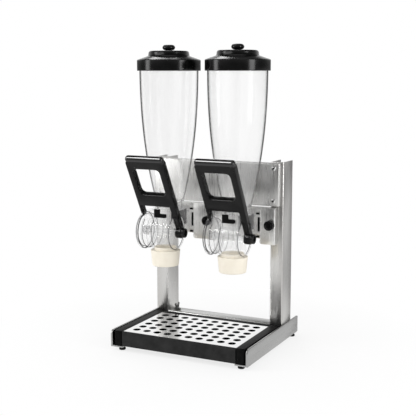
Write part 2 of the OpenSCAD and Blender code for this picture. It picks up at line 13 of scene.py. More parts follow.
import bpy
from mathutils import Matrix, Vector

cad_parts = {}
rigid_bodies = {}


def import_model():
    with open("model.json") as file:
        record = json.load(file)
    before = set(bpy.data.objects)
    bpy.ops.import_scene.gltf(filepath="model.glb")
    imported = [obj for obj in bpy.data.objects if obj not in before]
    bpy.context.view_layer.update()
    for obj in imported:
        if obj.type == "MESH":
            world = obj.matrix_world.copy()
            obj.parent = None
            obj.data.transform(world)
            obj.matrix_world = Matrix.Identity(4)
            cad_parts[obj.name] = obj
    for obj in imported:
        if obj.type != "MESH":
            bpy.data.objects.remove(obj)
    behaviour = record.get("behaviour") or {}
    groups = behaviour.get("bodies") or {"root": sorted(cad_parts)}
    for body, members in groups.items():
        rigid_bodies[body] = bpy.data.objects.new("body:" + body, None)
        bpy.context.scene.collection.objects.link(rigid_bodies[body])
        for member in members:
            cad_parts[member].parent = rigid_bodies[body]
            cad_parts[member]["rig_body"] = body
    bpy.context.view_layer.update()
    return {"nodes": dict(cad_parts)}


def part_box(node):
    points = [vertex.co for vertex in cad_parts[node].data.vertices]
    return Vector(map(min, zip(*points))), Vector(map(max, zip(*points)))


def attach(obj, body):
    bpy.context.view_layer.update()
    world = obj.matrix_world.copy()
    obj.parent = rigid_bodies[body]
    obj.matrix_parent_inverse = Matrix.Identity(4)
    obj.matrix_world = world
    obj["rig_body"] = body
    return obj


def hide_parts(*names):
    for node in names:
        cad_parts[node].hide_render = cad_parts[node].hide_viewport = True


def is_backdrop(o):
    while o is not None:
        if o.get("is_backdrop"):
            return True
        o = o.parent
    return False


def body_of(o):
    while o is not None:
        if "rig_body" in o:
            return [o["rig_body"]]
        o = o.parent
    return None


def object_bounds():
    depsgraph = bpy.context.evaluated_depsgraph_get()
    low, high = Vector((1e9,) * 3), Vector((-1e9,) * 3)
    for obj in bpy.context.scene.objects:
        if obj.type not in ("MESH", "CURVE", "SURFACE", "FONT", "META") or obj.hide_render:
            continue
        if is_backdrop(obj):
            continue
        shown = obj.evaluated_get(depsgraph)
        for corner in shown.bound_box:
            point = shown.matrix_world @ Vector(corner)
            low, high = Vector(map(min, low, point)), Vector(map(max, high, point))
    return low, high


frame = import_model()

# %% [markdown]
# ## Camera
#
# The photograph looks at the front from the right and a little from above. A pinhole camera that
# was fitted to the corners of the stand gives the place and the lens, so the model lines up with
# the photograph with no shift.

# %% Camera at the photograph's viewing angle
CAMERA_PLACE = (0.8109, -1.6409, 0.5706)
CAMERA_TILT = math.radians(81.32)
CAMERA_TURN = math.radians(26.22)
bpy.ops.object.camera_add(location=CAMERA_PLACE, rotation=(CAMERA_TILT, 0, CAMERA_TURN))
camera = bpy.context.object
camera.data.lens = 76.33
camera.data.sensor_width = 36
scene = bpy.context.scene
scene.camera = camera
scene.view_settings.view_transform = "Standard"
print("Camera lens in mm:", round(camera.data.lens, 2))

# %% [markdown]
# ## Shader nodes
#
# A world, a floor and a finish are all trees of nodes. They could be drawn by hand in the shader
# editor. In a script a few small helpers keep each tree short: one adds a node with its values, the
# others add the kinds that come back most often, and the last one draws the links.

# %% Helpers for shader nodes
def shader_node(tree, kind, **values):
    """Add a node and set its unlinked inputs by name."""
    node = tree.nodes.new(kind)
    for socket, value in values.items():
        node.inputs[socket.replace("_", " ")].default_value = value
    return node


def math_node(tree, operation):
    """Add a node that joins two numbers."""
    node = tree.nodes.new("ShaderNodeMath")
    node.operation = operation
    return node


def span_node(tree, start, end, low=0, high=1):
    """Add a node that maps the span from start to end onto the span from low to high."""
    return shader_node(tree, "ShaderNodeMapRange", From_Min=start, From_Max=end, To_Min=low, To_Max=high)


def colour_mix(tree, blend, **values):
    """Add a node that mixes two colours."""
    node = tree.nodes.new("ShaderNodeMix")
    node.data_type = "RGBA"
    node.blend_type = blend
    for socket, value in values.items():
        node.inputs[socket].default_value = value
    return node


WHITE = (1, 1, 1, 1)
print("Colours have four numbers, and white is", WHITE)

# %% Ramps and links
def grey_ramp(tree, stops):
    """Add a colour ramp with grey stops, each a place from 0 to 1 and a level."""
    node = tree.nodes.new("ShaderNodeValToRGB")
    elements = node.color_ramp.elements
    while len(elements) < len(stops):
        elements.new(1)
    for element, (place, level) in zip(elements, stops):
        element.position = place
        element.color = (level, level, level, 1)
    return node


def link_all(tree, pairs):
    """Link each source to its target."""
    for source, target in pairs:
        tree.links.new(source, target)


print("A ramp can have any number of grey stops")

# %% [markdown]
# ## Studio: the room
#
# A clear hopper has no colour of its own: it shows what is around it. So the room matters as much
# as the plastic. It could be built from walls, but a world of nodes is lighter and has no edges. It
# is white to the camera. Mirrors and clear walls see it in panels: white behind the object, grey on
# the camera's side, and darker just above the floor and overhead, which keeps the black lids black.
# A look through a drum meets many clear walls one behind the other, so rays may pass more of them
# than the usual eight.

# %% World: white behind, grey in front
MOST_CLEAR_WALLS = 48
ROOM_GREY = (0.66, 0.66, 0.66, 1)
ROOM_PANELS = [(0, 0.45), (0.20, 0.75), (0.42, 0.40), (0.62, 0.45), (0.80, 1), (1, 1)]
ROOM_TIERS = [(0, 1), (0.05, 0.2), (0.14, 0.2), (0.22, 1), (0.45, 1), (0.60, 0.12)]
scene.cycles.transparent_max_bounces = MOST_CLEAR_WALLS
world = bpy.data.worlds.new("studio_room")
scene.world = world
world.use_nodes = True
world.cycles.sampling_method = "NONE"
room = world.node_tree
direction = room.nodes.new("ShaderNodeTexCoord")
turned_room = shader_node(room, "ShaderNodeMapping", Rotation=(0, 0, -CAMERA_TURN))
parts = room.nodes.new("ShaderNodeSeparateXYZ")
depth = span_node(room, -1, 1)
panels = grey_ramp(room, ROOM_PANELS)
height = span_node(room, -0.1, 0.9)
tiers = grey_ramp(room, ROOM_TIERS)
tinted = colour_mix(room, "MULTIPLY", Factor=1)
path = room.nodes.new("ShaderNodeLightPath")
mirrored = math_node(room, "MAXIMUM")
seen = colour_mix(room, "MIX", A=ROOM_GREY)
straight = colour_mix(room, "MIX", B=WHITE)
link_all(room, [
    (direction.outputs["Generated"], turned_room.inputs["Vector"]),
    (turned_room.outputs["Vector"], parts.inputs["Vector"]),
    (parts.outputs["Y"], depth.inputs["Value"]),
    (depth.outputs["Result"], panels.inputs["Fac"]),
    (parts.outputs["Z"], height.inputs["Value"]),
    (height.outputs["Result"], tiers.inputs["Fac"]),
    (panels.outputs["Color"], tinted.inputs["A"]),
    (tiers.outputs["Color"], tinted.inputs["B"]),
    (path.outputs["Is Glossy Ray"], mirrored.inputs[0]),
    (path.outputs["Is Transmission Ray"], mirrored.inputs[1]),
    (mirrored.outputs["Value"], seen.inputs["Factor"]),
    (tinted.outputs["Result"], seen.inputs["B"]),
    (path.outputs["Is Camera Ray"], straight.inputs["Factor"]),
    (seen.outputs["Result"], straight.inputs["A"]),
    (straight.outputs["Result"], room.nodes["Background"].inputs["Color"]),
])
print("World nodes:", len(room.nodes))

# %% [markdown]
# ## Studio: the lamps
#
# Black gloss is drawn by its highlights, and a bare lamp would make them small and hard. So the
# lamps are soft boxes, as in a photographer's studio: area lamps that are each turned to face a
# point on the object. The box for the glint shows only in reflections, where it draws the white
# line along each grip roll.

# %% Soft boxes
def soft_box(name, place, aim, width, height, watts):
    """An area lamp that faces a point, as a soft box on a stand does."""
    bpy.ops.object.light_add(type="AREA", location=place)
    lamp = bpy.context.object
    lamp.name = name
    lamp.data.shape = "RECTANGLE"
    lamp.data.size = width
    lamp.data.size_y = height
    lamp.data.energy = watts
    lamp.rotation_euler = (Vector(aim) - Vector(place)).to_track_quat("-Z", "Y").to_euler()
    return lamp


soft_box("soft_box_left", (-1.2, -0.9, 0.7), (0, 0, 0.4), 0.42, 1.1, 8)
soft_box("soft_box_right", (1.5, -0.42, 0.7), (0, 0, 0.4), 0.5, 1.1, 10)
soft_box("soft_box_front", (-0.75, -1.1, 1.4), (-0.05, -0.1, 0.4), 1.4, 0.4, 5)
glint = soft_box("soft_box_glint", (-0.65, -1.08, 1.36), (0, -0.125, 0.4), 0.9, 0.6, 30)
glint.visible_diffuse = False
soft_box("soft_box_top", (0.1, -0.3, 1.9), (0, 0, 0.3), 1.3, 1.1, 4)
soft_box("soft_box_back", (-0.77, 1.02, 1.6), (0, 0, 0.6), 0.5, 0.3, 2.2)

# %% [markdown]
# ## Studio: the floor
#
# The dispenser stands on white paper that runs on into the white room. A curved backdrop could do
# that, but a flat sheet that glows more with distance has no seam either, and it keeps the shadow
# near the feet. Steel mirrors the paper, so in reflections it is darker far away and behind the
# stand, apart from a lit corner at the right rear that brightens the side of the right post.

# %% Floor that fades into the white room
FLOOR_SIZE = 14
bpy.ops.mesh.primitive_plane_add(size=FLOOR_SIZE)
floor = bpy.context.object
floor.name = "floor"
floor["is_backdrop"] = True
paper = bpy.data.materials.new("white_paper")
paper.use_nodes = True
tree = paper.node_tree
surface = tree.nodes["Principled BSDF"]
surface.inputs["Base Color"].default_value = (0.85, 0.85, 0.85, 1)
surface.inputs["Roughness"].default_value = 0.9
glow = shader_node(tree, "ShaderNodeEmission", Color=WHITE)
place = tree.nodes.new("ShaderNodeTexCoord")
axes = tree.nodes.new("ShaderNodeSeparateXYZ")
reach = tree.nodes.new("ShaderNodeVectorMath")
reach.operation = "LENGTH"
fade = span_node(tree, 0.2, 0.5, 0.78, 1)
far_off = span_node(tree, 1.5, 2.8, 1, 0.12)
behind = span_node(tree, 0.1, 0.5, 1, 0.55)
dimmed = math_node(tree, "MULTIPLY")
corner = math_node(tree, "MINIMUM")
lit_corner = span_node(tree, 0.2, 0.6, 0, 0.75)
reflected = math_node(tree, "MAXIMUM")
level = shader_node(tree, "ShaderNodeMix", A=1)
path = tree.nodes.new("ShaderNodeLightPath")
mirrored = math_node(tree, "MAXIMUM")
looked_at = math_node(tree, "MAXIMUM")
share = math_node(tree, "MULTIPLY")
blend = tree.nodes.new("ShaderNodeMixShader")
print("Paper nodes:", len(tree.nodes))

# %% Links of the floor's nodes
link_all(tree, [
    (place.outputs["Object"], reach.inputs[0]),
    (reach.outputs["Value"], fade.inputs["Value"]),
    (reach.outputs["Value"], far_off.inputs["Value"]),
    (place.outputs["Object"], axes.inputs["Vector"]),
    (axes.outputs["Y"], behind.inputs["Value"]),
    (far_off.outputs["Result"], dimmed.inputs[0]),
    (behind.outputs["Result"], dimmed.inputs[1]),
    (axes.outputs["X"], corner.inputs[0]),
    (axes.outputs["Y"], corner.inputs[1]),
    (corner.outputs["Value"], lit_corner.inputs["Value"]),
    (dimmed.outputs["Value"], reflected.inputs[0]),
    (lit_corner.outputs["Result"], reflected.inputs[1]),
    (path.outputs["Is Glossy Ray"], level.inputs["Factor"]),
    (reflected.outputs["Value"], level.inputs["B"]),
    (level.outputs["Result"], glow.inputs["Strength"]),
    (path.outputs["Is Glossy Ray"], mirrored.inputs[0]),
    (path.outputs["Is Transmission Ray"], mirrored.inputs[1]),
    (path.outputs["Is Camera Ray"], looked_at.inputs[0]),
    (mirrored.outputs["Value"], looked_at.inputs[1]),
    (looked_at.outputs["Value"], share.inputs[0]),
    (fade.outputs["Result"], share.inputs[1]),
    (share.outputs["Value"], blend.inputs["Fac"]),
    (surface.outputs["BSDF"], blend.inputs[1]),
    (glow.outputs["Emission"], blend.inputs[2]),
    (blend.outputs["Shader"], tree.nodes["Material Output"].inputs["Surface"]),
])
floor.data.materials.append(paper)
print("Floor size in m:", floor.dimensions.x)

# %% [markdown]
# ## Finishes
#
# Every finish is one Principled shader with noise on Object coordinates. The noise is drawn out
# along one axis for brushed steel and left even for moulded plastic. It changes the colour, the
# roughness and the relief a little, as the real surfaces do.

# %% A finish and its grain
def finish(name, **sockets):
    """A material whose Principled shader takes these constant socket values."""
    made = bpy.data.materials.new(name)
    made.use_nodes = True
    shader = made.node_tree.nodes["Principled BSDF"]
    for socket, value in sockets.items():
        shader.inputs[socket.replace("_", " ")].default_value = value
    return made


def grain(made, scale, stretch=(1, 1, 1), detail=3.0):
    """Noise in the object's own metres; an axis with a small stretch has long streaks."""
    tree = made.node_tree
    place = tree.nodes.new("ShaderNodeTexCoord")
    drawn = shader_node(tree, "ShaderNodeMapping", Scale=stretch)
    noise = shader_node(tree, "ShaderNodeTexNoise", Scale=scale, Detail=detail)
    tree.links.new(place.outputs["Object"], drawn.inputs["Vector"])
    tree.links.new(drawn.outputs["Vector"], noise.inputs["Vector"])
    return noise.outputs["Fac"]


print("Materials so far:", [made.name for made in bpy.data.materials])

# %% Colour, roughness and relief from the grain
NOISE_LOW, NOISE_HIGH = 0.3, 0.7


def colour_from(made, noise, dark, light):
    """Lead the noise through a ramp to the base colour."""
    tree = made.node_tree
    ramp = tree.nodes.new("ShaderNodeValToRGB")
    ends = zip(ramp.color_ramp.elements, (NOISE_LOW, NOISE_HIGH), (dark, light))
    for element, place, colour in ends:
        element.position = place
        element.color = (*colour, 1)
    tree.links.new(noise, ramp.inputs["Fac"])
    tree.links.new(ramp.outputs["Color"], tree.nodes["Principled BSDF"].inputs["Base Color"])


def roughness_from(made, noise, low, high):
    """Let the noise move the roughness between two values."""
    tree = made.node_tree
    span = span_node(tree, NOISE_LOW, NOISE_HIGH, low, high)
    tree.links.new(noise, span.inputs["Value"])
    tree.links.new(span.outputs["Result"], tree.nodes["Principled BSDF"].inputs["Roughness"])


def relief_from(made, noise, height):
    """Raise the surface by the noise, up to a height in metres."""
    tree = made.node_tree
    bump = shader_node(tree, "ShaderNodeBump", Strength=1, Distance=height)
    tree.links.new(noise, bump.inputs["Height"])
    tree.links.new(bump.outputs["Normal"], tree.nodes["Principled BSDF"].inputs["Normal"])


print("Noise reaches the shader between", NOISE_LOW, "and", NOISE_HIGH)

# %% [markdown]
# ## Finishes: steel
#
# The stand is stainless sheet that was brushed along each piece. A picture of brushed steel would
# need to be fitted to every fold. Noise that is stretched along the piece needs no fitting: broad
# pale bands give the colour, and fine scratches give roughness and relief. The base tone differs
# from piece to piece of the same stainless, as painted light and shade. The grate is polished, the
# screws are turned and the wing screw has gone dull.

# %% Brushed and polished steel
def brushed_steel(name, stretch, dark, light):
    """Stainless sheet: broad pale bands for the colour, fine scratches for roughness and relief."""
    made = finish(name, Metallic=1.0)
    bands = grain(made, 26, stretch, 2)
    scratches = grain(made, 900, stretch, 4)
    colour_from(made, bands, dark, light)
    roughness_from(made, scratches, 0.24, 0.38)
    relief_from(made, scratches, 0.00002)
    return made


ALONG_X, ALONG_Y, ALONG_Z = (0.02, 1, 1), (1, 0.02, 1), (1, 1, 0.02)
# Each kind of piece has its own base tone of the same stainless: darker on the side plates and lighter on
# the panel and rail, as painted shade and painted light.
for_posts = (0.54, 0.53, 0.515), (0.74, 0.735, 0.72)
panel_painted_light = (0.68, 0.675, 0.66), (0.90, 0.895, 0.88)
plates_painted_shade = (0.36, 0.36, 0.355), (0.46, 0.46, 0.455)
for_cross_rail = (0.60, 0.60, 0.59), (0.74, 0.74, 0.73)
steel_upright = brushed_steel("steel_brushed_upright", ALONG_Z, *for_posts)
steel_panel_painted_light = brushed_steel("steel_brushed_panel_painted_light", ALONG_Z, *panel_painted_light)
steel_lengthwise_painted_shade = brushed_steel("steel_brushed_lengthwise_painted_shade", ALONG_Y, *plates_painted_shade)
steel_across = brushed_steel("steel_brushed_across", ALONG_X, *for_cross_rail)

steel_polished = finish("steel_polished", Metallic=1.0)
wipe_marks = grain(steel_polished, 40, (1, 0.2, 1))
colour_from(steel_polished, wipe_marks, (0.86, 0.86, 0.855), (0.93, 0.93, 0.93))
roughness_from(steel_polished, wipe_marks, 0.10, 0.18)

steel_turned = finish("steel_turned", Metallic=1.0)
turning = grain(steel_turned, 700)
colour_from(steel_turned, turning, (0.55, 0.55, 0.545), (0.72, 0.72, 0.715))
roughness_from(steel_turned, turning, 0.16, 0.30)

steel_dulled = finish("steel_dulled", Metallic=1.0)
colour_from(steel_dulled, grain(steel_dulled, 90), (0.10, 0.10, 0.10), (0.22, 0.22, 0.215))
roughness_from(steel_dulled, grain(steel_dulled, 700), 0.24, 0.40)
print("Steel finishes made")

# %% [markdown]
# ## Finishes: plastic and rubber
#
# Lids, levers and latches are black plastic, the chutes are cream, the hubs grey and the wheels
# milky. Each could have a tree of its own, but all of them are moulded, so one helper serves: a
# faint mottle in the colour and a fine pebble in the surface. Their gloss tells the blacks apart,
# and the grip is the smoothest, because hands polish it.

# %% Black, cream, grey and milky plastic, and rubber
def moulded(name, dark, light, low, high, pebble=0.00001, scale=1600, **sockets):
    """Moulded plastic: a faint mottle in the colour and a fine pebble in the surface."""
    made = finish(name, **sockets)
    colour_from(made, grain(made, 60), dark, light)
    texture = grain(made, scale)
    roughness_from(made, texture, low, high)
    relief_from(made, texture, pebble)
    return made


def grey(level):
    """A colour with the same red, green and blue."""
    return (level, level, level)


SMOOTH, SMOOTHER = 0.000003, 0.000002
black_satin = moulded("satin_black", grey(0.003), grey(0.006), 0.14, 0.22, SMOOTH, Specular_IOR_Level=0.16)
black_gloss = moulded("gloss_black", grey(0.002), grey(0.004), 0.16, 0.22, SMOOTH, Specular_IOR_Level=0.32)
black_worn = moulded("worn_black", grey(0.003), grey(0.006), 0.07, 0.11, SMOOTHER, Specular_IOR_Level=0.6)
black_rail = moulded("rail_black", grey(0.018), grey(0.030), 0.40, 0.55, Specular_IOR_Level=0.05)
black_matt = moulded("matt_black", grey(0.003), grey(0.007), 0.32, 0.45, Specular_IOR_Level=0.04)
cream = moulded("chute_cream", (0.84, 0.78, 0.66), (0.88, 0.825, 0.71), 0.36, 0.46)
grey_plastic = moulded("hub_grey", (0.66, 0.66, 0.665), (0.74, 0.74, 0.745), 0.36, 0.46)
rubber = moulded("foot_rubber", grey(0.004), grey(0.008), 0.4, 0.55, 0.00002, Specular_IOR_Level=0.15)
milky = moulded("wheel_milky", (0.86, 0.87, 0.87), (0.93, 0.94, 0.94), 0.22, 0.32, 0.000004, Alpha=0.09)
print("Plastic finishes made")

# %% [markdown]
# ## Finishes: clear plastic
#
# Hoppers and drums are clear. A shader that bends light would need walls of the exact thickness and
# many more bounces. So each wall is a film instead: almost see-through face on, and denser and
# darker towards its edge, where the eye looks along the plastic. Faint upright bands in the film are
# painted reflections. The thick rims of drums and discs get a dark finish of their own, which is
# painted shade.

# %% Clear plastic
def clear_plastic(name, film, density_stops, tint_stops):
    """A clear film with faint upright bands of painted reflection; its density and tint go from face on to
    edge on.
    """
    made = finish(name, IOR=1.5, Specular_IOR_Level=1.0)
    tree = made.node_tree
    shader = tree.nodes["Principled BSDF"]
    roughness_from(made, grain(made, 30), 0.02, 0.06)
    facing = shader_node(tree, "ShaderNodeLayerWeight", Blend=0.5).outputs["Facing"]
    density = grey_ramp(tree, density_stops)
    tint = grey_ramp(tree, tint_stops)
    # The upright bands add painted reflection to the film's density.
    bands = span_node(tree, 0.42, 0.60, 0, film)
    total = math_node(tree, "ADD")
    link_all(tree, [
        (grain(made, 22, (1, 1, 0.04), 1), bands.inputs["Value"]),
        (bands.outputs["Result"], total.inputs[0]),
        (facing, density.inputs["Fac"]),
        (density.outputs["Color"], total.inputs[1]),
        (total.outputs["Value"], shader.inputs["Alpha"]),
        (facing, tint.inputs["Fac"]),
        (tint.outputs["Color"], shader.inputs["Base Color"]),
    ])
    return made


BLOWN_DENSITY = [(0, 0), (0.6, 0.03), (0.72, 0.12), (0.82, 0.7), (1, 0.95)]
BLOWN_TINT = [(0, 0.70), (0.55, 0.60), (0.68, 0.15), (0.78, 0.04), (1, 0.02)]
MOULD_DENSITY = [(0, 0.03), (0.6, 0.045), (0.84, 0.12), (0.92, 0.7), (1, 0.9)]
MOULD_TINT = [(0, 0.95), (0.60, 0.85), (0.84, 0.55), (0.91, 0.06), (1, 0.02)]
clear_blown = clear_plastic("clear_blown", 0.09, BLOWN_DENSITY, BLOWN_TINT)
clear = clear_plastic("clear_moulding", 0.05, MOULD_DENSITY, MOULD_TINT)
# The dark rims of drums and discs are painted shade: near black and almost opaque.
edge_dark, edge_light = (0.03, 0.03, 0.032), (0.06, 0.06, 0.064)
clear_painted_shade = moulded("clear_painted_shade", edge_dark, edge_light, 0.04, 0.10, SMOOTHER, Alpha=0.92)
frost_dark, frost_light = (0.20, 0.20, 0.205), (0.30, 0.30, 0.305)
frosted = moulded("hub_frosted", frost_dark, frost_light, 0.30, 0.45, 0.000004, Alpha=0.5)
print("Clear finishes made")

# %% [markdown]
# ## Modelling helpers
#
# Operators act on everything that is selected, so each helper starts by deselecting all. A piece
# is modelled from a primitive, and its place is then moved into its mesh, so that every object
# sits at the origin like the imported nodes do.

# %% Select, place and settle
MM = 0.001


def clear_selection():
    """Leave edit mode and deselect everything."""
    if bpy.context.object and bpy.context.object.mode != "OBJECT":
        bpy.ops.object.mode_set(mode="OBJECT")
    bpy.ops.object.select_all(action="DESELECT")


def take(piece):
    """Make a piece the only selected and the active one."""
    clear_selection()
    piece.select_set(True)
    bpy.context.view_layer.objects.active = piece
    return piece


def settle(piece, place=(0, 0, 0), turn=(0, 0, 0)):
    """Turn a piece about the origin, move it and put both into its mesh."""
    take(piece)
    piece.rotation_euler = turn
    piece.location = Vector(piece.location) + Vector(place)
    bpy.ops.object.transform_apply(location=True, rotation=True, scale=True)
    return piece


def block(name, low, high):
    """A cube stretched between two corners, in metres."""
    clear_selection()
    low, high = Vector(low), Vector(high)
    bpy.ops.mesh.primitive_cube_add(size=1, location=(low + high) / 2, scale=high - low)
    piece = bpy.context.object
    piece.name = piece.data.name = name
    return settle(piece)


print("Sizes are in mm, and one mm is", MM, "of Blender's metres")

# %% Pick points, edges or faces
def pick(piece, kind, test):
    """Go into edit mode with only those faces, edges or vertices selected whose points pass the test."""
    take(piece)
    bpy.ops.object.mode_set(mode="EDIT")
    bpy.ops.mesh.select_mode(type=kind)
    bpy.ops.mesh.select_all(action="DESELECT")
    bpy.ops.object.mode_set(mode="OBJECT")
    mesh = piece.data
    if kind == "VERT":
        for vertex in mesh.vertices:
            vertex.select = test([vertex.co])
    else:
        for item in mesh.polygons if kind == "FACE" else mesh.edges:
            item.select = test([mesh.vertices[i].co for i in item.vertices])
    bpy.ops.object.mode_set(mode="EDIT")


print("Points, edges and faces are picked by a test of their places")

# %% [markdown]
# ## Modelling helpers: shaping
#
# Sheets are bent, holes are cut and walls are joined on the real object. The same is done here with
# modifiers that are applied at once, so each piece ends as a plain mesh. A live modifier could be
# changed later, but the next step selects faces and edges that only exist once it is applied.

# %% Round, cut, join and clean
DOUBLED = 0.02 * MM
FLAT_ANGLE = math.radians(1)


def apply_modifier(piece, kind, **settings):
    """Add a modifier, set it and apply it."""
    take(piece)
    modifier = piece.modifiers.new(kind.lower(), kind)
    for key, value in settings.items():
        setattr(modifier, key, value)
    bpy.ops.object.modifier_apply(modifier=modifier.name)
    return piece


def round_edges(piece, width, segments=2, angle=35):
    """Round the edges that are sharper than an angle."""
    sharp = math.radians(angle)
    return apply_modifier(
        piece, "BEVEL", width=width, segments=segments, limit_method="ANGLE", angle_limit=sharp
    )


def combine(piece, other, operation):
    """Join a helper to a piece or cut it away, then remove the helper."""
    apply_modifier(piece, "BOOLEAN", object=other, operation=operation, solver="EXACT")
    bpy.data.objects.remove(other)
    return piece


def clean(piece):
    """Merge doubled points and melt away the flat edges that a Boolean leaves."""
    take(piece)
    bpy.ops.object.mode_set(mode="EDIT")
    bpy.ops.mesh.select_all(action="SELECT")
    bpy.ops.mesh.remove_doubles(threshold=DOUBLED)
    bpy.ops.mesh.dissolve_limited(angle_limit=FLAT_ANGLE)
    bpy.ops.mesh.normals_make_consistent(inside=False)
    bpy.ops.object.mode_set(mode="OBJECT")
    return piece


print("Doubled points merge within", DOUBLED / MM, "mm")

# %% [markdown]
# ## Modelling helpers: dressing
#
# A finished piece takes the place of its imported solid. It gets smooth shading with crisp corners,
# its finish, and the body that it moves with. The helper also measures how far the piece reaches
# outside its solid's box, because a render alone doesn't show a piece that has grown.

# %% Measure and dress
SMOOTH_ANGLE = math.radians(35)


def overhang(piece, nodes):
    """How far a piece reaches outside the box of the nodes that it stands for."""
    boxes = [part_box(node) for node in nodes]
    reach = 0.0
    for axis in range(3):
        low = min(box[0][axis] for box in boxes)
        high = max(box[1][axis] for box in boxes)
        places = [vertex.co[axis] for vertex in piece.data.vertices]
        reach = max(reach, low - min(places), max(places) - high)
    return reach


def dress(piece, material, slot, body, *nodes):
    """Smooth the shading, give the finish and let the piece ride on its body in place of its nodes."""
    take(piece)
    bpy.ops.object.shade_smooth_by_angle(angle=SMOOTH_ANGLE)
    piece.data.materials.clear()
    piece.data.materials.append(material)
    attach(piece, body)
    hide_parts(*nodes)
    over = overhang(piece, nodes) / MM
    print(f"{piece.name}: {len(piece.data.polygons)} faces, {over:.2f} mm outside its solid's box")
    return piece


print("Corners sharper than", round(math.degrees(SMOOTH_ANGLE)), "degrees stay crisp")

# %% [markdown]
# ## Stand: side plates
#
# Each side plate is a thick stainless plate with a round front corner, and a narrow flange under
# the tray. A cube gets its corner from an edge bevel, and the flange is a second cube that a
# Boolean joins to it. A fine bevel then gives the bright line that a cut steel edge shows.

# %% Side plates
PLATE_T = 4 * MM
FLANGE_T = 3 * MM
PLATE_CORNER = 9 * MM
PLATE_EDGE = 0.4 * MM


def side_plate(side):
    """One plate with its flange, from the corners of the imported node."""
    node = "side_plate_" + side
    low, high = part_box(node)
    outer = low.x if side == "left" else high.x - PLATE_T
    plate = block("plate_" + side, (outer, low.y, low.z), (outer + PLATE_T, high.y, high.z))

    def front_top(points):
        return all(p.y < low.y + MM and p.z > high.z - MM for p in points)

    pick(plate, "EDGE", front_top)
    bpy.ops.mesh.bevel(offset=PLATE_CORNER, segments=8, affect="EDGES")
    bpy.ops.object.mode_set(mode="OBJECT")
    flange = block("flange", low, (high.x, high.y, low.z + FLANGE_T))
    combine(plate, flange, "UNION")
    clean(plate)
    round_edges(plate, PLATE_EDGE)
    return dress(plate, steel_lengthwise_painted_shade, "brushed_stainless", "stand", node)


for side in ("left", "right"):
    side_plate(side)

# %% [markdown]
# ## Stand: folded sheet
#
# Posts and rails are folded from sheet. They could be hollowed out of blocks, but a sheet is nearer
# to the way they are made. It starts as one point that is extruded along its outline and then along
# its length. The bends are rounded while the sheet has no thickness, and Solidify gives the
# thickness last, so the inside of each bend follows the outside.

# %% Folded sheet
SHEET_T = 2 * MM
SHEET_EDGE = 0.3 * MM


def open_sheet(name, outline, length):
    """A point extruded along an outline, and the outline extruded along a length."""
    clear_selection()
    bpy.ops.mesh.primitive_plane_add(size=MM)
    piece = bpy.context.object
    piece.name = piece.data.name = name
    bpy.ops.object.mode_set(mode="EDIT")
    bpy.ops.mesh.select_mode(type="VERT")
    bpy.ops.mesh.select_all(action="SELECT")
    bpy.ops.mesh.merge(type="CENTER")
    bpy.ops.transform.translate(value=outline[0])
    for start, end in zip(outline, outline[1:]):
        bpy.ops.mesh.extrude_region_move(TRANSFORM_OT_translate={"value": Vector(end) - Vector(start)})
    bpy.ops.mesh.select_all(action="SELECT")
    bpy.ops.mesh.extrude_region_move(TRANSFORM_OT_translate={"value": length})
    bpy.ops.object.mode_set(mode="OBJECT")
    return piece


def round_folds(piece, folds, way, bend):
    """Round the edges that run along a direction through the fold points."""
    way = Vector(way).normalized()
    places = [Vector(fold) for fold in folds]

    def is_fold(points):
        along = (points[1] - points[0]).normalized().cross(way).length < 0.01
        return along and any((points[0] - place).cross(way).length < 0.01 * MM for place in places)

    pick(piece, "EDGE", is_fold)
    bpy.ops.mesh.bevel(offset=bend, segments=4, affect="EDGES")
    bpy.ops.object.mode_set(mode="OBJECT")


def thicken(piece, thickness, inwards=-1):
    """Give the sheet its thickness and soften its cut edges."""
    apply_modifier(piece, "SOLIDIFY", thickness=thickness, offset=inwards, use_even_offset=True)
    return round_edges(piece, SHEET_EDGE)


print("Sheet is", SHEET_T / MM, "mm thick")

# %% [markdown]
# ## Stand: posts
#
# Each post is a channel with its web to the front and its open side to the rear. It could be a box
# that loses three of its faces. Drawn as a sheet, its two folds are known by their points, and the
# same helpers serve for all the folded pieces.

# %% Posts
BEND_R = 3 * MM


def post(side):
    """A channel that is open to the rear."""
    node = "post_" + side
    low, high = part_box(node)
    outline = [(low.x, high.y, low.z), (low.x, low.y, low.z)]
    outline += [(high.x, low.y, low.z), (high.x, high.y, low.z)]
    piece = open_sheet("channel_post_" + side, outline, (0, 0, high.z - low.z))
    round_folds(piece, outline[1:-1], (0, 0, 1), BEND_R)
    thicken(piece, SHEET_T)
    return dress(piece, steel_upright, "brushed_stainless", "stand", node)


for side in ("left", "right"):
    post(side)

# %% [markdown]
# ## Stand: cross rail
#
# The cross rail ties the posts together behind the tray and carries the wing screw. It is the same
# kind of channel, open below and drawn from left to right. Its outline runs the other way round, so
# the thickness goes to the other side.

# %% Cross rail
low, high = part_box("cross_rail")
outline = [(low.x, low.y, low.z), (low.x, low.y, high.z)]
outline += [(low.x, high.y, high.z), (low.x, high.y, low.z)]
cross_rail = open_sheet("channel_cross_rail", outline, (high.x - low.x, 0, 0))
round_folds(cross_rail, outline[1:-1], (1, 0, 0), BEND_R)
thicken(cross_rail, SHEET_T, 1)
dress(cross_rail, steel_across, "brushed_stainless", "stand", "cross_rail")

# %% [markdown]
# ## Stand: back panel
#
# The panel between the posts is a shallow pan with folded sides. A pan has corners where three
# sides meet, so it starts as a block that loses its rear face. Beveling the edges of the front
# rounds folds and corners in one step.

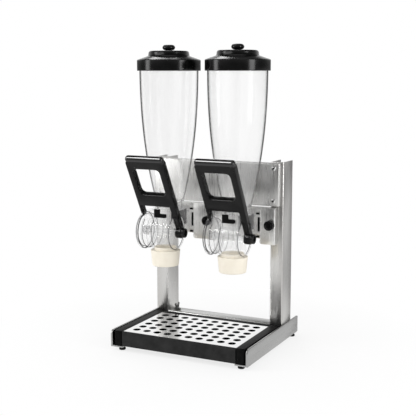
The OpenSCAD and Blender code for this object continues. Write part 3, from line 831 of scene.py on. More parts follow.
# %% Back panel
PANEL_T = 1.5 * MM
PANEL_BEND = 2.5 * MM
low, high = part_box("back_panel")
back_panel = block("pan_back_panel", low, high)
pick(back_panel, "FACE", lambda points: all(p.y > high.y - MM for p in points))
bpy.ops.mesh.delete(type="FACE")
pick(back_panel, "EDGE", lambda points: any(p.y < low.y + MM for p in points))
bpy.ops.mesh.bevel(offset=PANEL_BEND, segments=4, affect="EDGES")
bpy.ops.object.mode_set(mode="OBJECT")
thicken(back_panel, PANEL_T)
dress(back_panel, steel_panel_painted_light, "brushed_stainless", "stand", "back_panel")

# %% [markdown]
# ## Stand: mounting rail
#
# The rail is one sheet with a recess behind each dispenser. The same folded sheet is cut while it
# is still thin: bisect draws the outlines of the slots and of the open bottom of each recess, and
# the faces inside them are deleted. Booleans could cut the thick sheet, but deleted faces leave
# clean edges that can still be rounded.

# %% Slices and middles
def slice_sheet(piece, point, normal):
    """Draw a line of edges where a plane meets the whole sheet."""
    take(piece)
    bpy.ops.object.mode_set(mode="EDIT")
    bpy.ops.mesh.select_all(action="SELECT")
    bpy.ops.mesh.bisect(plane_co=point, plane_no=normal)
    bpy.ops.object.mode_set(mode="OBJECT")


def centre_of(points):
    """The middle of some points."""
    return sum(points, Vector()) / len(points)


def middle_of(node):
    """The middle of a node's box."""
    low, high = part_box(node)
    return (low + high) / 2


recess_centres = [middle_of("hopper_left").x, middle_of("hopper_right").x]
print("Recesses have their middles at", [round(x / MM, 1) for x in recess_centres], "mm")

# %% Mounting rail: sheet and slots
RECESS_W = 28 * MM
RECESS_D = 8 * MM
RECESS_LIFT = 10 * MM
FOLD_COVER = 1 * MM
SLOT_X = (20 * MM, 25 * MM)
SLOT_Z = (25 * MM, 55 * MM)
low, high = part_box("mounting_rail")
recess_low = low.z + RECESS_LIFT
web = low.y + RECESS_D
outline = [(low.x, high.y, low.z), (low.x, low.y, low.z)]
for centre in recess_centres:
    left, right = centre - RECESS_W, centre + RECESS_W
    outline += [(left, low.y, low.z), (left, web, low.z), (right, web, low.z), (right, low.y, low.z)]
outline += [(high.x, low.y, low.z), (high.x, high.y, low.z)]
rail = open_sheet("rail_folded", outline, (0, 0, high.z - low.z - FOLD_COVER))
slice_sheet(rail, (0, 0, recess_low), (0, 0, 1))
for place in SLOT_Z:
    slice_sheet(rail, (0, 0, low.z + place), (0, 0, 1))
for centre in recess_centres:
    for place in SLOT_X:
        slice_sheet(rail, (centre - place, 0, 0), (1, 0, 0))
        slice_sheet(rail, (centre + place, 0, 0), (1, 0, 0))
print("Sliced rail sheet has", len(rail.data.polygons), "faces")

# %% [markdown]
# ## Stand: the rail's corners and top fold
#
# The lower corners beside each recess are rounded as points, before the bends. A bend is a little
# wider than the sheet is thick, because a tighter one would shrink to a line on its inside and
# leave faces without area. The top fold is a strip that a Boolean joins on. It lies a hair inside
# the sheet's faces, since two faces in one plane are hard to join.

# %% Mounting rail: cut-outs and corners
RAIL_ROUND = 5.2 * MM


def is_cut_out(points):
    """True for the faces below a recess and for the faces inside a slot."""
    middle = centre_of(points)
    beside = min(abs(middle.x - centre) for centre in recess_centres)
    below = middle.z < recess_low and middle.y > low.y + MM and beside < RECESS_W + MM
    level = SLOT_Z[0] < middle.z - low.z < SLOT_Z[1]
    in_slot = level and middle.y > web - MM and SLOT_X[0] < beside < SLOT_X[1]
    return below or in_slot


pick(rail, "FACE", is_cut_out)
bpy.ops.mesh.delete(type="FACE")
recess_edges = [centre + side * RECESS_W for centre in recess_centres for side in (-1, 1)]


def bottom_corner(points):
    """True for the lower points beside a recess."""
    beside = min(abs(points[0].x - x) for x in recess_edges)
    return points[0].z < low.z + MM and beside < MM


pick(rail, "VERT", bottom_corner)
bpy.ops.mesh.bevel(offset=RAIL_ROUND, segments=6, affect="VERTICES")
bpy.ops.object.mode_set(mode="OBJECT")
print("Cut rail sheet has", len(rail.data.polygons), "faces")

# %% Mounting rail: bends and top fold
RAIL_BEND = 2.6 * MM
FOLD_INSET = 0.05 * MM
FOLD_EDGE = 0.8 * MM
TOUCHING = 0.001 * MM


def weld(piece):
    """Merge points that almost touch and remove the faces that this leaves without area."""
    take(piece)
    bpy.ops.object.mode_set(mode="EDIT")
    bpy.ops.mesh.select_all(action="SELECT")
    bpy.ops.mesh.remove_doubles(threshold=TOUCHING)
    bpy.ops.mesh.dissolve_degenerate(threshold=TOUCHING)
    bpy.ops.mesh.normals_make_consistent(inside=False)
    bpy.ops.object.mode_set(mode="OBJECT")
    return piece


round_folds(rail, outline[1:-1], (0, 0, 1), RAIL_BEND)
thicken(rail, SHEET_T)
weld(rail)
within = Vector((FOLD_INSET, FOLD_INSET, 0))
top_fold = block("top_fold", Vector((low.x, low.y, high.z - SHEET_T)) + within, high - within)
round_edges(top_fold, FOLD_EDGE, 3)
combine(rail, top_fold, "UNION")
dress(rail, steel_panel_painted_light, "brushed_stainless", "stand", "mounting_rail")

# %% [markdown]
# ## Turned pieces
#
# Screws, feet, knobs, lids and hoppers are round. Screw or Spin could sweep a profile about an axis.
# Here a circle is drawn through the outline instead, as on a lathe, because each ring then has the
# same points in the same order. What repeats is modelled once and copied with a mesh of its own.

# %% Turned pieces
AXIS = 0.01
SEAM = 0.002 * MM
TO_FRONT = (math.radians(90), 0, 0)


def turned(name, outline, sides=96):
    """A circle drawn through an outline of radii and heights in mm, closed at its ends."""
    clear_selection()
    radius, height = outline[0]
    bpy.ops.mesh.primitive_circle_add(vertices=sides, radius=radius * MM, location=(0, 0, height * MM))
    piece = settle(bpy.context.object)
    piece.name = piece.data.name = name
    bpy.ops.object.mode_set(mode="EDIT")
    bpy.ops.mesh.select_mode(type="VERT")
    bpy.ops.mesh.select_all(action="SELECT")
    for next_radius, next_height in outline[1:]:
        rise = (0, 0, (next_height - height) * MM)
        bpy.ops.mesh.extrude_region_move(TRANSFORM_OT_translate={"value": rise})
        widen = next_radius / radius
        bpy.ops.transform.resize(value=(widen, widen, 1), center_override=(0, 0, next_height * MM))
        radius, height = next_radius, next_height
    bpy.ops.mesh.select_all(action="SELECT")
    bpy.ops.mesh.remove_doubles(threshold=SEAM)
    bpy.ops.mesh.fill_holes(sides=0)
    bpy.ops.mesh.normals_make_consistent(inside=False)
    bpy.ops.object.mode_set(mode="OBJECT")
    return piece


print("Outlines that reach the axis stop", AXIS, "mm from it")

# %% Copies and second finishes
def twin(piece, name, shift):
    """A copy with its own mesh, moved by a shift."""
    take(piece)
    bpy.ops.object.duplicate(linked=False)
    copy = bpy.context.object
    copy.name = copy.data.name = name
    return settle(copy, shift)


def second_finish(piece, material, test):
    """Give another finish to the faces whose middle and normal pass a test."""
    piece.data.materials.append(material)
    chosen = [face for face in piece.data.polygons if test(face.center / MM, face.normal)]
    for face in chosen:
        face.material_index = len(piece.data.materials) - 1
    print(piece.name, "has", len(chosen), "faces in", material.name)


print("A copy has a mesh of its own, and a piece may have several finishes")

# %% [markdown]
# ## Stand: panel screws
#
# Four socket screws with domed heads hold the back panel. The dome is a row of points on an arc,
# and a six-sided turned piece cuts the socket. The socket is a little narrower than the flat of the
# head, so its corners stay clear of the edge. Its inside is painted black as shade, as a deep hole looks.

# %% Panel screws
HEAD_R, HEAD_H, FLAT_R, HEX_R = 5.2, 2.5, 2.4, 2.3
HEAD_RIM, DOME_H = 0.3, 2.2
SOCKET_Z = (0.8, 4)
low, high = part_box("panel_screws")
head_outline = [(AXIS, 0), (HEAD_R - 0.4, 0), (HEAD_R, HEAD_RIM)]
dome = (0.35, 0.6, 0.85, 1.0)
head_outline += [(HEAD_R * math.cos(a), HEAD_RIM + DOME_H * math.sin(a)) for a in dome]
head_outline += [(FLAT_R, HEAD_H)]
screw = turned("panel_screw", head_outline, 48)
socket = turned("socket", [(HEX_R, z) for z in SOCKET_Z], 6)
combine(screw, socket, "DIFFERENCE")
settle(screw, (0, 0, 0), TO_FRONT)
head_back = low.y + HEAD_H * MM


def painted_shade_in_socket(x, z):
    """A test for the faces inside the socket of the screw at x and z, which are painted black as shade."""
    def test(middle, normal):
        below_face = middle.y > low.y / MM + 0.1
        return below_face and math.hypot(middle.x - x / MM, middle.z - z / MM) < HEX_R

    return test


for i, x in enumerate((low.x + HEAD_R * MM, high.x - HEAD_R * MM)):
    for j, z in enumerate((low.z + HEAD_R * MM, high.z - HEAD_R * MM)):
        copy = twin(screw, f"panel_screw_{2 * i + j + 1}", (x, head_back, z))
        dress(copy, steel_turned, "screw_steel", "stand", "panel_screws")
        # The inside of each socket is painted shade in black.
        second_finish(copy, black_satin, painted_shade_in_socket(x, z))
bpy.data.objects.remove(screw)

# %% [markdown]
# ## Stand: feet
#
# Four rubber feet keep the stand from sliding. A foot could be a cylinder with a bevel. Turned, it
# gets its soft lower edge and its narrower stem in one outline. The front pair stands a little
# further in.

# %% Feet
FOOT_R = 7 * MM
FRONT_INSET = 11 * MM
foot_outline = [(AXIS, 0), (6.2, 0), (7, 0.7), (7, 3.4), (6.4, 4)]
foot_outline += [(5.6, 4.2), (5.6, 8), (AXIS, 8)]
foot = turned("foot", foot_outline, 48)
low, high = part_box("feet")
rear_x = high.x - FOOT_R
for i, (x, y) in enumerate([
    (-rear_x + FRONT_INSET, low.y + FOOT_R), (rear_x - FRONT_INSET, low.y + FOOT_R),
    (-rear_x, high.y - FOOT_R), (rear_x, high.y - FOOT_R),
]):
    dress(twin(foot, f"foot_{i + 1}", (x, y, 0)), rubber, "black_rubber", "stand", "feet")
bpy.data.objects.remove(foot)

# %% [markdown]
# ## Stand: wing screw
#
# A wing screw sits on the cross rail. Stud, washer and body are one turned outline. The wings are
# two rounded blocks that lean outwards and are joined to the body, which is quicker than shaping
# them out of the round.

# %% Wing screw
WASHER_R, BODY_R, STUD_R = 8, 4.5, 2.5
WASHER_LOW, WASHER_TOP, BODY_TOP = 9.0, 9.0 + 1.6, 9.0 + 8.5
WING_HALF_T, WING_HALF_W, WING_H = 1.3 * MM, 3 * MM, 11 * MM
WING_ROUND, WING_LIFT = 1.1 * MM, 4.25
WING_TILT = math.radians(28)
low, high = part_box("wing_screw")
screw_outline = [(AXIS, 0), (STUD_R - 0.4, 0), (STUD_R, 0.5), (STUD_R, WASHER_LOW)]
screw_outline += [(WASHER_R - 0.4, WASHER_LOW), (WASHER_R, WASHER_LOW + 0.4)]
screw_outline += [(WASHER_R, WASHER_TOP - 0.4), (WASHER_R - 0.4, WASHER_TOP)]
screw_outline += [(BODY_R + 0.6, WASHER_TOP), (BODY_R, WASHER_TOP + 0.6)]
screw_outline += [(BODY_R, BODY_TOP - 0.8), (BODY_R - 0.8, BODY_TOP), (AXIS, BODY_TOP)]
wing_screw = turned("wing_screw_turned", screw_outline, 48)
for way in (-1, 1):
    wing = block("wing", (-WING_HALF_T, -WING_HALF_W, 0), (WING_HALF_T, WING_HALF_W, WING_H))
    round_edges(wing, WING_ROUND, 4)
    foot_of_wing = (0, way * WING_HALF_W, (WASHER_LOW + WING_LIFT) * MM)
    settle(wing, foot_of_wing, (-way * WING_TILT, 0, 0))
    combine(wing_screw, wing, "UNION")
middle = (low + high) / 2
settle(wing_screw, (middle.x, middle.y, low.z))
dress(wing_screw, steel_dulled, "screw_steel", "wing_screw", "wing_screw")

# %% [markdown]
# ## Stand: clamp knobs
#
# A black knob on the mounting rail clamps each dispenser. The knob is turned with its stud, and
# twelve round cutters make the flutes for the fingers. A wavy outline that is extruded would do too,
# but it couldn't have the turned shoulder. The cutters reach a little past the edge of the knob's
# foot, so that no point of one lies exactly on the other.

# %% Clamp knobs
KNOB_R, KNOB_H, CAP_R, STUD_LOW = 10.4, 13, 7, -14.5
FLUTES, FLUTE_R = 12, 1.3


def arc(centre, radius, start, end, steps=6):
    """Points of a rounded corner in an outline, between two angles in degrees."""
    angles = [math.radians(start + (end - start) * i / steps) for i in range(steps + 1)]
    return [(centre[0] + radius * math.cos(a), centre[1] + radius * math.sin(a)) for a in angles]


knob_outline = [(AXIS, STUD_LOW), (2.6, STUD_LOW), (3, STUD_LOW + 0.4), (3, 0)]
knob_outline += [(KNOB_R - 0.6, 0), (KNOB_R, 0.6), (KNOB_R, 9.4)]
knob_outline += arc((KNOB_R - 1.6, 9.4), 1.6, 0, 90) + [(CAP_R + 0.8, 11)]
knob_outline += [(CAP_R + 0.4, KNOB_H - 0.4), (CAP_R, KNOB_H), (AXIS, KNOB_H)]
knob = turned("clamp_knob", knob_outline, 96)
flute = turned("flute", [(FLUTE_R, -1), (FLUTE_R, KNOB_H + 1)], 16)
settle(flute, ((KNOB_R + 0.6) * MM, 0, 0))
cutters = [flute] + [twin(flute, f"flute_{i}", (0, 0, 0)) for i in range(1, FLUTES)]
for i, cutter in enumerate(cutters):
    settle(cutter, (0, 0, 0), (0, 0, 2 * math.pi * i / FLUTES))
for cutter in cutters:
    combine(knob, cutter, "DIFFERENCE")
weld(knob)
settle(knob, (0, 0, 0), TO_FRONT)
for side in ("left", "right"):
    low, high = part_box("clamp_knob_" + side)
    middle = (low + high) / 2
    copy = twin(knob, "fluted_knob_" + side, (middle.x, low.y + KNOB_H * MM, middle.z))
    dress(copy, black_satin, "black_satin", "clamp_knob_" + side, "clamp_knob_" + side)
bpy.data.objects.remove(knob)

# %% [markdown]
# ## Crumb tray
#
# Four black rails hold a pan, and a perforated stainless sheet lies on it. The side rails are
# extrusions with rounded front corners, so a vertical edge bevel comes first and a fine bevel
# after it. One wide bevel on all edges would round the tops as much as the corners.

# %% Tray rails
RAIL_EDGE = 0.9 * MM
FRONT_CORNER = 5 * MM


def tray_rail(node, material, slot, corner):
    """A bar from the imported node's box; its front corners are rounded by a radius."""
    low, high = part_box(node)
    bar = block("bar_" + node, low, high)
    if corner:
        def upright_front(points):
            return all(p.y < low.y + MM for p in points) and abs(points[0].z - points[1].z) > MM

        pick(bar, "EDGE", upright_front)
        bpy.ops.mesh.bevel(offset=corner, segments=6, affect="EDGES")
        bpy.ops.object.mode_set(mode="OBJECT")
    round_edges(bar, RAIL_EDGE, 3)
    return dress(bar, material, slot, "tray", node)


tray_rail("tray_front_rail", black_rail, "black_satin", 0)
tray_rail("tray_rear_rail", black_matt, "black_gloss", 0)
tray_rail("tray_left_rail", black_matt, "black_gloss", FRONT_CORNER)
tray_rail("tray_right_rail", black_matt, "black_gloss", FRONT_CORNER)

# %% [markdown]
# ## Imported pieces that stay
#
# The perforated grate, the pan, the clamp plates and bumpers, and the axles and wheels inside the
# drums already have their shape. They could be modelled again, but nothing would look different.
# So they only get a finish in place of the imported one.

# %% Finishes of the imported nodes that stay
def paint(node, material):
    """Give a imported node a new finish."""
    slots = frame["nodes"][node].data.materials
    slots.clear()
    slots.append(material)
    print(node, "is", material.name)


for part in ("floor", "front_wall", "rear_wall", "left_wall", "right_wall"):
    paint("pan_" + part, black_satin)
paint("grate", steel_polished)
for side in ("left", "right"):
    paint("clamp_plate_" + side, black_satin)
    paint("bumpers_" + side, rubber)
    paint("axle_" + side, milky)
    paint("axle_hub_" + side, grey_plastic)
    paint("wheel_" + side, milky)

# %% [markdown]
# ## Dispensers: two alike
#
# The two dispensers are the same mouldings. Every piece is modelled once, on the left one, and copied
# to the right with a mesh of its own. A linked copy would be lighter, but a place can't be put into
# a mesh that two objects share.

# %% Places of the two dispensers
hopper_low, hopper_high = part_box("hopper_left")
axle_middle = middle_of("axle_left")
LEFT_WHEEL = Vector((middle_of("hopper_left").x, axle_middle.y, axle_middle.z))
LEFT_HOPPER = Vector((middle_of("hopper_left").x, middle_of("hopper_left").y, 0))
TO_RIGHT = Vector((middle_of("hopper_right").x - LEFT_WHEEL.x, 0, 0))


def dress_pair(piece, name, material, slot, bodies, nodes):
    """Dress a left piece and its copy on the right."""
    right = twin(piece, name + "_right", TO_RIGHT)
    piece.name = piece.data.name = name + "_left"
    dress(piece, material, slot, bodies[0], nodes[0])
    dress(right, material, slot, bodies[1], nodes[1])


def both(name):
    """The left and right names of a body or node."""
    return [name + "_left", name + "_right"]


wheel_place = tuple(round(v, 4) for v in LEFT_WHEEL)
print("Left wheel axis at", wheel_place, "and the right one", TO_RIGHT.x, "away")

# %% [markdown]
# ## Dispensers: hoppers
#
# A hopper is blown from clear plastic: a narrow neck, a body that swells quickly and a rim that is
# almost upright. It could be a cone with a few loops pulled into shape. Here it is one turned wall,
# up the outside and down the inside, with the same swelling formula that the solid has.

# %% Hoppers
NECK_R, SHOULDER_R, RIM_R, WALL = 26.2, 29.5, 61.2, 1.4
NECK_H = 15.5
SWELL = 2.3
STEPS = 48
neck_low = hopper_low.z / MM
shoulder = neck_low + NECK_H
rim = hopper_high.z / MM


def hopper_radius(t):
    """Outer radius at a share t of the height from the shoulder to the rim."""
    return SHOULDER_R + (RIM_R - SHOULDER_R) * (1 - (1 - t) ** SWELL)


heights = [i / STEPS for i in range(STEPS + 1)]
outside = [(hopper_radius(t), shoulder + t * (rim - shoulder)) for t in heights]
inside = [(r - WALL, z) for r, z in reversed(outside[1:])]
neck_in = NECK_R - WALL
outline = [(neck_in, neck_low), (NECK_R, neck_low), (NECK_R, shoulder)] + outside[:-1]
outline += [(RIM_R, rim - 0.8), (RIM_R - 0.4, rim), (RIM_R - WALL + 0.4, rim)] + inside
outline += [(neck_in, shoulder + WALL), (neck_in, neck_low)]
hopper = settle(turned("hopper", outline, 128), LEFT_HOPPER)
dress_pair(hopper, "clear_hopper", clear_blown, "clear_plastic", both("hopper"), both("hopper"))

# %% [markdown]
# ## Dispensers: lids
#
# A lid is a moulded cap with an upright rim, a sloping shoulder and a raised tier. Small arcs in
# the outline round each corner, because a black gloss piece is drawn by the light on its corners.
# A bevel afterwards would do the same, but an arc in the outline can have its own radius.

# %% Lids
LID_IN, LID_R, TIER_R, ROOF = 62.65, 65.85, 42.8, 3
RIM_H, SLOPE_H = 23, 6.5
low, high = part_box("lid_left")
skirt_low, lid_top = low.z / MM, high.z / MM
rim_top = skirt_low + RIM_H
tier_low = rim_top + SLOPE_H
outline = [(AXIS, lid_top - ROOF), (TIER_R - ROOF - 2.2, lid_top - ROOF)]
outline += [(TIER_R - ROOF, tier_low - ROOF), (LID_IN - 2, rim_top - 4)]
outline += [(LID_IN, rim_top - 4.4), (LID_IN, skirt_low + 0.4), (LID_IN + 0.4, skirt_low)]
outline += arc((LID_R - 1.2, skirt_low + 1.2), 1.2, -90, 0)
outline += arc((LID_R - 2.4, rim_top - 2.6), 2.4, 0, 70)
outline += [(TIER_R + 2.2, tier_low - 0.2), (TIER_R + 0.7, tier_low + 0.5)]
outline += [(TIER_R - 0.1, tier_low + 1.6)]
outline += arc((TIER_R - 5.6, lid_top - 4.6), 4.6, 8, 90, 8) + [(AXIS, lid_top)]
lid = settle(turned("lid", outline, 128), LEFT_HOPPER)
dress_pair(lid, "gloss_lid", black_gloss, "black_gloss", both("lid"), both("lid"))

# %% [markdown]
# ## Dispensers: lid buttons
#
# The lid is lifted by a button like a flattened ball. A squashed sphere would have too thin an edge.
# In this outline the radius follows the square root of the cosine, which keeps the edge full and
# the top flat.

# %% Lid buttons
BUTTON_R, BUTTON_NECK, BUTTON_GAP = 13.1, 4.5, 0.8
BULGE_STEPS, BULGE_END = 20, 80
low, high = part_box("lid_button_left")
base, crown = low.z / MM, high.z / MM
waist = base + BUTTON_GAP
middle = (waist + crown) / 2
half = (crown - waist) / 2
outline = [(AXIS, base), (BUTTON_NECK, base)]
degrees = [-BULGE_END + 2 * BULGE_END * i / BULGE_STEPS for i in range(BULGE_STEPS + 1)]
bulge = [math.radians(degree) for degree in degrees]
outline += [(BUTTON_R * math.cos(a) ** 0.5, middle + half * math.sin(a)) for a in bulge]
outline += [(AXIS, crown)]
button = settle(turned("button", outline, 96), LEFT_HOPPER)
dress_pair(button, "gloss_button", black_gloss, "black_gloss", both("lid"), both("lid_button"))

# %% [markdown]
# ## Dispensers: clear drum housings
#
# The housing is a clear moulding with thin walls: a ribbed drum for the portion wheel, a block
# with the collar for the hopper, an outlet spigot below and a block behind that goes into the
# rail. Drum, collar and spigot are turned, and a Boolean joins them with the two blocks.

# %% Outer forms of a housing
TO_PLUS_X = (0, math.radians(90), 0)
DRUM = (-39, 27.4)
DRUM_R, RING_R, RIB_R = 34, 37, 35.8
RING_W, RING_SOFT = 4, 1.1
RIB = (-26, -14)
BLOCK_LOW, BLOCK_HIGH = Vector((-37.8, -24, 10)), Vector((26.2, 48, 46.5))
REAR_LOW, REAR_HIGH = Vector((-15, 47, -10)), Vector((15, 81, 46.5))
BLOCK_ROUND, REAR_ROUND = 2 * MM, 1 * MM
COLLAR_Y, COLLAR_R, COLLAR_LOW, COLLAR_TOP = 20, 30.5, 44, 62
SPIGOT_R, SPIGOT_LOW, SPIGOT_TOP = 26.5, -38.4, -20


def ring_edge(x0, x1, radius):
    """Two rounded corners of a raised ring on the drum."""
    first = arc((radius - RING_SOFT, x0 + RING_SOFT), RING_SOFT, -90, 0, 3)
    return first + arc((radius - RING_SOFT, x1 - RING_SOFT), RING_SOFT, 0, 90, 3)


drum_outline = [(AXIS, DRUM[0])] + ring_edge(DRUM[0], DRUM[0] + RING_W, RING_R)
drum_outline += [(DRUM_R, DRUM[0] + RING_W), (DRUM_R, RIB[0])]
drum_outline += ring_edge(RIB[0], RIB[1], RIB_R) + [(DRUM_R, RIB[1])]
drum_outline += [(DRUM_R, DRUM[1] - RING_W)]
drum_outline += ring_edge(DRUM[1] - RING_W, DRUM[1], RING_R) + [(AXIS, DRUM[1])]
housing = settle(turned("housing", drum_outline, 96), (0, 0, 0), TO_PLUS_X)
top_block = block("top_block", BLOCK_LOW * MM, BLOCK_HIGH * MM)
round_edges(top_block, BLOCK_ROUND, 4)
rear_block = block("rear_block", REAR_LOW * MM, REAR_HIGH * MM)
round_edges(rear_block, REAR_ROUND, 3)
collar_outline = [(COLLAR_R, COLLAR_LOW), (COLLAR_R, COLLAR_TOP - 0.8), (COLLAR_R - 0.8, COLLAR_TOP)]
collar = settle(turned("collar", collar_outline), (0, COLLAR_Y * MM, 0))
spigot = turned("spigot", [(SPIGOT_R, SPIGOT_LOW), (SPIGOT_R, SPIGOT_TOP)])
for form in (top_block, rear_block, collar, spigot):
    combine(housing, form, "UNION")
print("Outer form of a housing has", len(housing.data.polygons), "faces")

# %% [markdown]
# ## Dispensers: inside of a housing
#
# A solid block of glass would bend the light far too much. Solidify could hollow it, but it doesn't
# know which ends are open. So the spaces are cut out one by one, each a wall thickness smaller than
# its outer form, and the holes for axle, hopper and outlet go right through.

# %% Inner spaces of a housing
WALL_T = 2.5
BORE_R, AXLE_HOLE, NECK_HOLE, COLLAR_IN, SPIGOT_IN = 31.5, 5.05, 23.7, 26.6, 24
SPACE_ROUND = 1 * MM
inset = Vector((WALL_T, WALL_T, WALL_T))
bore = turned("bore", [(BORE_R, DRUM[0] + WALL_T), (BORE_R, DRUM[1] - WALL_T)])
axle_hole = turned("axle_hole", [(AXLE_HOLE, DRUM[0] - 1), (AXLE_HOLE, DRUM[1] + 1)], 48)
for space in (bore, axle_hole):
    settle(space, (0, 0, 0), TO_PLUS_X)
top_space = block("top_space", (BLOCK_LOW + inset) * MM, (BLOCK_HIGH - inset) * MM)
round_edges(top_space, SPACE_ROUND, 3)
rear_space = block("rear_space", (REAR_LOW + inset) * MM, (REAR_HIGH - inset) * MM)
neck_hole = turned("neck_hole", [(NECK_HOLE, 30), (NECK_HOLE, 48)])
collar_space = turned("collar_space", [(COLLAR_IN, BLOCK_HIGH.z), (COLLAR_IN, COLLAR_TOP + 2)])
for space in (neck_hole, collar_space):
    settle(space, (0, COLLAR_Y * MM, 0))
outlet = turned("outlet", [(SPIGOT_IN, SPIGOT_LOW - 1), (SPIGOT_IN, SPIGOT_TOP + 2)])
for space in (bore, axle_hole, top_space, rear_space, neck_hole, collar_space, outlet):
    combine(housing, space, "DIFFERENCE")
clean(housing)
settle(housing, LEFT_WHEEL)
body = body_of(frame["nodes"]["housing_left"])[0]
dress_pair(housing, "clear_housing", clear, "clear_plastic", [body, body], both("housing"))

# %% [markdown]
# ## Dispensers: painted shade on the rims of the drums
#
# Clear plastic looks dark where one sees along its wall. The clear finish darkens with the angle of
# a face, but it doesn't know how thick the plastic behind that face is. So the steps beside the
# raised rings are painted dark, as painted shade. They are chosen by their distance from the axle
# and the way they face.

# %% Painted shade on the rims of the drums
def from_axle(middle):
    """How far a point in mm is from the axle line, which both dispensers share."""
    return math.hypot(middle.y - LEFT_WHEEL.y / MM, middle.z - LEFT_WHEEL.z / MM)


def on_ring(middle, normal):
    """True for the steps beside the raised rings of either drum."""
    upright = abs(normal.z) < 0.05 and middle.z < LEFT_WHEEL.z / MM + SPIGOT_TOP
    at_ring = DRUM_R - 0.5 < from_axle(middle) < RING_R + 0.4
    return abs(normal.x) > 0.1 and at_ring and not upright


for side in ("left", "right"):
    second_finish(bpy.data.objects["clear_housing_" + side], clear_painted_shade, on_ring)

# %% [markdown]
# ## Dispensers: latches
#
# A small black latch slides along the front of each housing. Its L is a block whose upper part is
# extruded from the lower bar: bisect marks where the upright leg ends, and the top face of that
# part is extruded upwards. The end of the bar is rounded more than the rest.

# %% Latches
LATCH_LEG = 13 * MM
LATCH_BAR = 8.5 * MM
LATCH_T = 5 * MM
LATCH_END, LATCH_EDGE = 3 * MM, 0.9 * MM
KEY_X = (2 * MM, 11 * MM)
KEY_Z = (2 * MM, 6.5 * MM)
NEAR = 0.1 * MM
low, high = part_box("latch_left")


def leg_top(points):
    """True for the top face of the part that grows into the leg."""
    return all(p.z > low.z + LATCH_BAR - NEAR and p.x < low.x + LATCH_LEG + NEAR for p in points)


def bar_end(points):
    """True for the two edges across the end of the bar."""
    return all(p.x > high.x - NEAR for p in points) and abs(points[0].y - points[1].y) > MM


latch = block("latch", low, (high.x, low.y + LATCH_T, low.z + LATCH_BAR))
slice_sheet(latch, (low.x + LATCH_LEG, 0, 0), (1, 0, 0))
pick(latch, "FACE", leg_top)
rise = (0, 0, high.z - low.z - LATCH_BAR)
bpy.ops.mesh.extrude_region_move(TRANSFORM_OT_translate={"value": rise})
pick(latch, "EDGE", bar_end)
bpy.ops.mesh.bevel(offset=LATCH_END, segments=5, affect="EDGES")
bpy.ops.object.mode_set(mode="OBJECT")
clean(latch)
round_edges(latch, LATCH_EDGE, 3)
key_low = Vector((low.x + KEY_X[0], low.y + LATCH_T - MM, low.z + KEY_Z[0]))
key = block("key", key_low, (low.x + KEY_X[1], high.y, low.z + KEY_Z[1]))
combine(latch, key, "UNION")
dress_pair(latch, "slide_latch", black_matt, "black_satin", both("latch"), both("latch"))

# %% [markdown]
# ## Dispensers: lever handles
#
# The handle is one black moulding: a frame with a window, a grip roll along its top, one arm down
# to the axle on the right and a short tongue into the end disc on the left. It is modelled upright
# about the axle and leaned forward at the end, because an upright block is easier to measure. The
# frame is first: a block with two large corners and a soft sill.

# %% Frame of a handle
FRAME_X = (-45, 41)
FRAME_Y = (-1.25, 13.25)
SILL, ROLL_Z = 64, 178
TOP_ROUND, SILL_ROUND, EDGE_ROUND = 8, 4, 1.2


def top_corner(points):
    """True for the two upper corners of the frame."""
    return all(p.z > (ROLL_Z - 1) * MM for p in points) and abs(points[0].y - points[1].y) > MM


def front_sill(points):
    """True for the lower front edge of the frame."""
    return all(p.z < (SILL + 0.1) * MM and p.y < (FRAME_Y[0] + 0.1) * MM for p in points)


frame_low = Vector((FRAME_X[0], FRAME_Y[0], SILL))
frame_high = Vector((FRAME_X[1], FRAME_Y[1], ROLL_Z))
handle = block("handle", frame_low * MM, frame_high * MM)
for test, width, segments in ((top_corner, TOP_ROUND, 8), (front_sill, SILL_ROUND, 5)):
    pick(handle, "EDGE", test)
    bpy.ops.mesh.bevel(offset=width * MM, segments=segments, affect="EDGES")
bpy.ops.object.mode_set(mode="OBJECT")
round_edges(handle, EDGE_ROUND * MM, 3)
print("Frame of a handle has", len(handle.data.polygons), "faces")

# %% [markdown]
# ## Dispensers: grip roll, arm and tongue
#
# The roll and the eye of the arm are round bars with soft ends, and arm and tongue are rounded
# blocks. Each reaches into its neighbour, so the Boolean finds a clear crossing to join along.

# %% Grip roll, arm and tongue
ROLL_Y, ROLL_R, END_ROUND = 6, 7.5, 5.5
ARM_X0, EYE_R = 28, 11.5
TONGUE_X = (-42.8, -39.6)
TONGUE_LOW, THIN_LOW, THIN_TOP, THIN_ROUND = 44, 38.5, 46, 0.6
OVERLAP = 4


def soft_block(name, low, high, width):
    """A block with rounded edges, from corners in mm."""
    return round_edges(block(name, Vector(low) * MM, Vector(high) * MM), width * MM, 3)


def bar_outline(radius, first, last, soft, steps):
    """The outline of a round bar between two places, with soft ends."""
    near_end = [(AXIS, first)] + arc((radius - soft, first + soft), soft, -90, 0, steps)
    return near_end + arc((radius - soft, last - soft), soft, 0, 90, steps) + [(AXIS, last)]


roll = turned("roll", bar_outline(ROLL_R, FRAME_X[0], FRAME_X[1], END_ROUND, 8), 64)
settle(roll, (0, ROLL_Y * MM, ROLL_Z * MM), TO_PLUS_X)
arm_top = (FRAME_X[1], EYE_R, SILL + OVERLAP)
arm = soft_block("arm", (ARM_X0, FRAME_Y[0], 0), arm_top, EDGE_ROUND)
eye = turned("eye", bar_outline(EYE_R, ARM_X0, FRAME_X[1], EDGE_ROUND, 3), 64)
settle(eye, (0, 0, 0), TO_PLUS_X)
tongue_top = (TONGUE_X[1], FRAME_Y[1], SILL + OVERLAP)
tongue = soft_block("tongue", (FRAME_X[0], FRAME_Y[0], TONGUE_LOW), tongue_top, EDGE_ROUND)
thin_top = (TONGUE_X[1], FRAME_Y[1], THIN_TOP)
thin_tongue = soft_block("thin_tongue", (TONGUE_X[0], FRAME_Y[0], THIN_LOW), thin_top, THIN_ROUND)
for form in (roll, arm, eye, tongue, thin_tongue):
    combine(handle, form, "UNION")
print("Joined handle has", len(handle.data.polygons), "faces")

